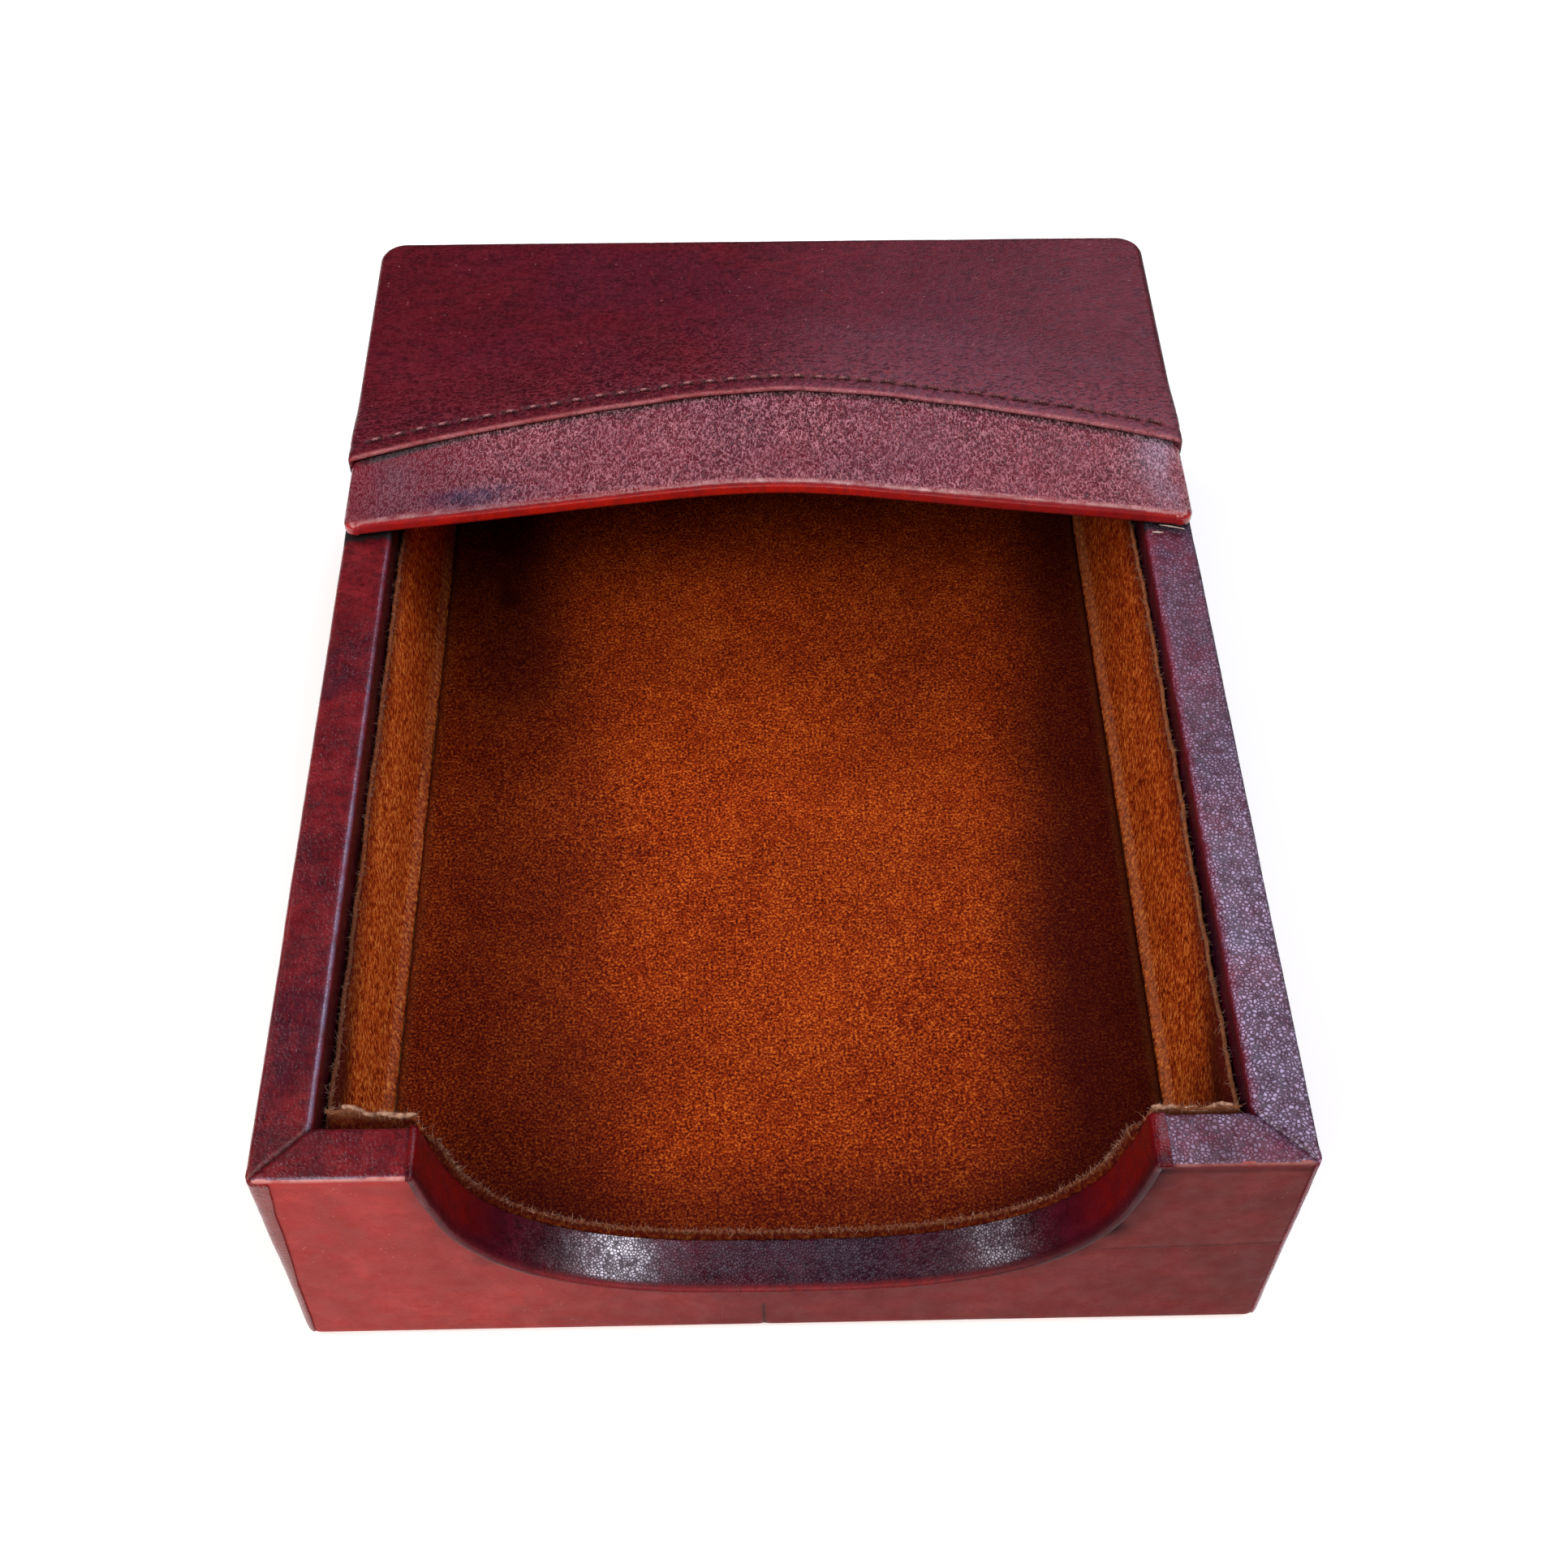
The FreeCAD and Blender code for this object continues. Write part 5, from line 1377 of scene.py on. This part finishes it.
def panel():
    r = 1.0
    m = 400
    hx = 63.62
    R = 4.2
    hyb = HY
    xs = np.linspace(-(hx - r), hx - r, m)
    free = np.stack([xs, y_fold(xs) + 0.55], -1)
    cx, cy, rc = hx - R, hyb - R, R - r
    al = rounded_corner(-cx, cy, rc, 135, 90, 8)
    ar = rounded_corner(cx, cy, rc, 90, 45, 8)
    back = np.concatenate([al, np.stack([np.linspace(-cx, cx, 300)[1:-1], np.full(298, cy + rc)], -1), ar])
    d = np.r_[0, np.cumsum(np.linalg.norm(np.diff(back, axis=0), axis=1))]
    tt = np.linspace(0, d[-1], m)
    back = np.stack([np.interp(tt, d, back[:, 0]), np.interp(tt, d, back[:, 1])], -1)
    vs = np.r_[np.linspace(0, 0.24, 52)[:-1], np.linspace(0.24, 0.93, 62)[:-1], np.linspace(0.93, 1.0, 12)]

    def side(sign):
        arc = rounded_corner(sign * cx, cy, rc, 0 if sign > 0 else 180, 45 if sign > 0 else 135, 8)
        y0 = float(y_fold(sign * (hx - r)) + 0.55)
        line = np.stack([np.full(60, sign * (hx - r)), np.linspace(y0, cy, 60)], -1)
        q = np.concatenate([line, arc[1:]])
        d = np.r_[0, np.cumsum(np.linalg.norm(np.diff(q, axis=0), axis=1))]
        t = vs * d[-1]
        return np.stack([np.interp(t, d, q[:, 0]), np.interp(t, d, q[:, 1])], -1)

    left, right = side(-1), side(1)
    V, F, ntop = rolled(free, left, back, right, hem_z, r, Z_BL, 0.5, 6.5, [left[-1], right[-1]], vs)
    N = normals(V, F)
    x, y, z = V.T
    t = behind(x, y)
    top = step(Z_BAND - 0.9, Z_BAND - 0.2, z)
    h = 0.05 * fbm(V, 16.0, 401, 3) * top
    # creases near the hem, more of them to the right
    cr = 1 - np.abs(noise(np.stack([x * 0.5 + 0.2 * y, y, z * 0], -1), 1.5, 402)) * 2
    h += 0.035 * cr * np.exp(-((t - 8.0) / 5.0) ** 2) * top
    h += 0.016 * (1 - np.abs(noise(V, 0.9, 404)) * 2) * top
    V = V + N * h[:, None]
    V[:, 2] += stitch_relief(V) * top
    # thickness: the fold is double, the field single; the flange is thinner
    thick = np.where(top > 0.5, 0.90 - 0.25 * step(4.0, 9.0, t), 0.58)
    thick = np.where(z < Z_BAND - 0.9, 0.48, thick)
    return thick_sheet(V, F, thick, K=5, bulge=1.0)


V, F = panel()


def panel_wear(P):
    t = behind(P[:, 0], P[:, 1])
    lip = np.exp(-((t - 0.0) / 0.55) ** 2) * step(Z_BAND - 0.2, Z_BAND + 0.3, P[:, 2])
    back = 0.25 * step(HY - 1.0, HY - 0.2, P[:, 1])
    side = 0.45 * step(62.6, 63.4, np.abs(P[:, 0])) * step(Z_BAND - 1.5, Z_BAND - 0.3, P[:, 2])
    return np.clip(0.9 * lip + back * 0.3 + side * 0.3 * (P[:, 0] < 0), 0, 1)


def panel_edge_highlight(P):
    # painted highlight along the fold of the hem
    t = behind(P[:, 0], P[:, 1])
    return np.clip(0.9 * np.exp(-((t - 0.15) / 0.34) ** 2) * step(Z_BAND + 0.1, Z_BAND + 0.7, P[:, 2]), 0, 1)


def panel_painted_shade(P):
    # painted shade: the flange below the top, the stitch holes, the groove of the stitch row, the back edge and the
    # right edge
    t = behind(P[:, 0], P[:, 1])
    a = 0.5 * step(45.2, 44.0, P[:, 2])
    g = np.zeros(len(P))
    top = P[:, 2] > Z_BAND - 0.5
    for k in range(len(ST_P)):
        for e in (-ST_HALF - 0.1, ST_HALF + 0.1):
            c = ST_P[k] + ST_T[k] * e
            g = np.maximum(g, np.exp(-(((P[:, 0] - c[0]) ** 2 + (P[:, 1] - c[1]) ** 2) / 0.38 ** 2)))
    groove = 0.30 * np.exp(-((t - 2.25) / 0.5) ** 2) * top
    return np.clip(a + (0.50 + 0.25 * step(0, 25, P[:, 0])) * g * top + groove + 0.50 * step(HY - 1.6, HY - 0.3, P[:, 1]) + 0.60 * step(62.5, 63.2, P[:, 0]), 0, 1)


def panel_crinkle(P):
    t = behind(P[:, 0], P[:, 1])
    return 0.25 + 0.75 * np.exp(-((t - 6.0) / 9.0) ** 2) * (0.6 + 0.4 * step(-60, 40, P[:, 0]))


def panel_sheen_veil(P):
    # painted sheen near the hem on the right half of the panel
    t = behind(P[:, 0], P[:, 1])
    q = fbm(P, 12.0, 77, 2)
    return np.clip(step(-12, 22, P[:, 0]) * (0.34 * step(24, 4, t + 3 * q) + 0.10), 0, 1)


build("bridge_top_leather_panel", [(V, F, 0)], [M_PANEL], ["bridge_top_leather"], sharp=50, recalc=False,
      attrs={"wear": panel_wear, "dark": panel_painted_shade, "crinkle": panel_crinkle, "edge": panel_edge_highlight, "sheen_veil": panel_sheen_veil})


# --- the stitches themselves: two plies twisted together, dipping into the leather at both ends
def stitches():
    parts = []
    rng = np.random.default_rng(77)
    m, ns = 7, 26
    for k in range(len(ST_P)):
        c, tg = ST_P[k], ST_T[k]
        sd = np.array([-tg[1], tg[0]])
        z0 = float(hem_z(c[0], c[1])) - 0.10
        ph = rng.uniform(0, 6.28)
        s = np.linspace(-1, 1, ns)
        along = s * (ST_HALF + 0.16)
        lift = 0.30 * (1 - np.abs(s) ** 2.6) - 0.62 * np.clip(np.abs(s) - 0.80, 0, 1) / 0.2 * 0.9
        for ply in (0, 1):
            a = ph + ply * math.pi + along * 2 * math.pi / 1.15
            rad = 0.125
            cen = np.column_stack([c[0] + tg[0] * along + sd[0] * np.cos(a) * rad, c[1] + tg[1] * along + sd[1] * np.cos(a) * rad, z0 + lift + np.sin(a) * rad])
            d = unit(np.gradient(cen, axis=0))
            w = unit(np.cross(d, np.array([0, 0, 1.0])))
            q = np.cross(w, d)
            b = np.linspace(0, 2 * math.pi, m, endpoint=False)
            rr = 0.165 * (1 - 0.25 * np.clip(np.abs(s) - 0.85, 0, 1) / 0.15)
            ring = cen[:, None] + rr[:, None, None] * (w[:, None] * np.cos(b)[None, :, None] + q[:, None] * np.sin(b)[None, :, None])
            parts.append(tube(ring) + (0,))
    return parts


def crest_highlight(P):
    # painted highlight: the thread's top is pale on the left and in the middle; on the right the thread stays dark
    z0 = hem_z(P[:, 0], P[:, 1])
    a = np.full(len(P), 9.0)
    for k in range(len(ST_P)):
        a = np.minimum(a, np.hypot(P[:, 0] - ST_P[k, 0], P[:, 1] - ST_P[k, 1]))
    return step(0.12, 0.36, P[:, 2] - z0) * step(0.62, 0.25, a) * (0.22 + 0.78 * step(22, 2, P[:, 0]))


build("hem_stitch_thread", stitches(), [M_THREAD], ["hem_stitching"], attrs={"crest_highlight": crest_highlight})


# ------------------------------------------------------------------ underside pieces
def plate(x0, x1, y0f, y1, z_face, down, t, sp, seed, amp=0.05):
    xs = np.linspace(x0, x1, int((x1 - x0) / sp) + 1)
    v = np.linspace(0, 1, int((y1 - 30) / sp) + 1)
    X, Vv = np.meshgrid(xs, v)
    Y = y0f(X) + (y1 - y0f(X)) * Vv
    V = np.stack([X, Y, np.full(X.shape, z_face)], -1).reshape(-1, 3)
    F = grid(*X.shape)
    N = normals(V, F)
    want = -1.0 if down else 1.0
    if np.median(N[:, 2]) * want < 0:
        F, N = F[:, ::-1], -N
    V = V + N * (amp * noise(V, 0.9, seed) - amp)[:, None]
    return thick_sheet(V, F, t, K=2)


V, F = plate(-59.4, 59.4, lambda x: y_edge(x) + 4.1, HY - 4.1, 42.96, True, 0.92, 0.55, 501)
# painted shade: the underside lining is darkened a little all over
build("bridge_underside_velveteen", [(V, F, 0)], [M_VELVET_WALL], ["bridge_underside_lining"], sharp=60, recalc=False,
      attrs={"painted_shade_and_spot": lambda P: 0.3 + 0 * P[:, 0], "tint": lambda P: 0.2 + 0 * P[:, 0], "raw": lambda P: step(59.0, 59.4, np.abs(P[:, 0]))})

V, F = plate(-61.0, 61.0, lambda x: -HY + 2.5 + 0 * x, HY - 2.5, 0.0, True, 0.56, 0.9, 511, 0.04)
V[:, 2] = np.maximum(V[:, 2], 0.0)
felt_piece = build("bottom_felt_pad", [(V, F, 0)], [M_FELT], ["bottom_felt"], sharp=60, recalc=False)

# carried-over solids get their materials
for node, mat in {"base_board": M_BOARD, "left_wall_core": M_BOARD, "right_wall_core": M_BOARD, "front_wall_core": M_BOARD, "back_wall_core": M_BOARD,
                  "bridge_board": M_BOARD, "corner_brads": M_STEEL, "floor_card": M_CARD, "bottom_filler_card": M_CARD}.items():
    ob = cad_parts[node]
    if len(ob.material_slots) == 0:
        ob.data.materials.append(mat)
    for sl in ob.material_slots:
        sl.material = mat


# ------------------------------------------------------------------ floor, camera, light
def stage_floor():
    n = Nodes("studio_floor")
    f = n.noise(60.0, 3.0, 0.5)
    col = n.ramp(f, [(0.2, (0.90, 0.90, 0.90, 1)), (0.8, (0.93, 0.93, 0.93, 1))])
    m = n.finish(Base_Color=col, Roughness=0.75, Specular_IOR_Level=0.2, Emission_Color=(1, 1, 1, 1), Emission_Strength=0.27)
    me = bpy.data.meshes.new("studio_floor")
    s = 6.0
    me.from_pydata([(-s, -s, 0), (s, -s, 0), (s, s, 0), (-s, s, 0)], [], [(0, 1, 2, 3)])
    me.materials.append(m)
    ob = bpy.data.objects.new("studio_floor", me)
    bpy.context.scene.collection.objects.link(ob)


stage_floor()

cam_data = bpy.data.cameras.new("camera")
cam_data.sensor_width = 36.0
cam_data.lens = 47.87432
cam_data.clip_start, cam_data.clip_end = 0.01, 20.0
cam = bpy.data.objects.new("camera", cam_data)
bpy.context.scene.collection.objects.link(cam)
RC = np.array([[0.99973337, -0.02256688, 0.00489189], [-0.01452092, -0.77913813, -0.62668407], [0.01795376, 0.62644594, -0.77925808]])
rot = Matrix(((RC[0, 0], -RC[1, 0], -RC[2, 0]), (RC[0, 1], -RC[1, 1], -RC[2, 1]), (RC[0, 2], -RC[1, 2], -RC[2, 2])))
cam.matrix_world = Matrix.Translation(Vector((-0.003975, -0.204592, 0.262421))) @ rot.to_4x4()
bpy.context.scene.camera = cam


def area(name, az, el, dist, size, power, color=(1, 1, 1), size_y=None, target=(0, 0, 0.03)):
    a, e = math.radians(az), math.radians(el)
    d = Vector((math.sin(a) * math.cos(e), math.cos(a) * math.cos(e), math.sin(e)))
    l = bpy.data.lights.new(name, "AREA")
    l.shape = "RECTANGLE" if size_y else "SQUARE"
    l.size = size
    if size_y:
        l.size_y = size_y
    l.energy = power
    l.color = color
    ob = bpy.data.objects.new(name, l)
    ob.location = Vector(target) + d * dist
    ob.rotation_mode = "QUATERNION"
    ob.rotation_quaternion = d.to_track_quat("Z", "Y")
    bpy.context.scene.collection.objects.link(ob)
    return ob


area("band_sheen", 19, 42, 0.95, 0.20, 0.70, (0.62, 0.72, 1.0), 0.14)
area("rim_sheen", 27, 58, 0.95, 0.20, 1.90, (0.72, 0.78, 1.0))
area("small_back_right", 50, 47, 0.95, 0.10, 0.95, (0.85, 0.89, 1.0))
area("small_back_left", -50, 47, 0.95, 0.10, 0.50, (0.82, 0.87, 1.0))
area("fill_right", 92, 56, 1.0, 0.45, 2.8, (1.0, 0.95, 0.90))
area("fill_left", -92, 56, 1.0, 0.45, 2.2, (1.0, 0.95, 0.90))
area("fill_front_left", -140, 46, 1.0, 0.5, 6.2, (1.0, 0.97, 0.93))
area("fill_front_right", 150, 58, 1.1, 0.5, 3.4, (1.0, 0.97, 0.94))

world = bpy.data.worlds.new("world")
world.use_nodes = True
world.node_tree.nodes["Background"].inputs["Color"].default_value = (1, 1, 1, 1)
world.node_tree.nodes["Background"].inputs["Strength"].default_value = 0.05
bpy.context.scene.world = world
bpy.context.scene.view_settings.view_transform = "Standard"
bpy.context.scene.view_settings.look = "None"
bpy.context.scene.view_settings.exposure = 0.0
bpy.context.scene.view_settings.gamma = 1.0
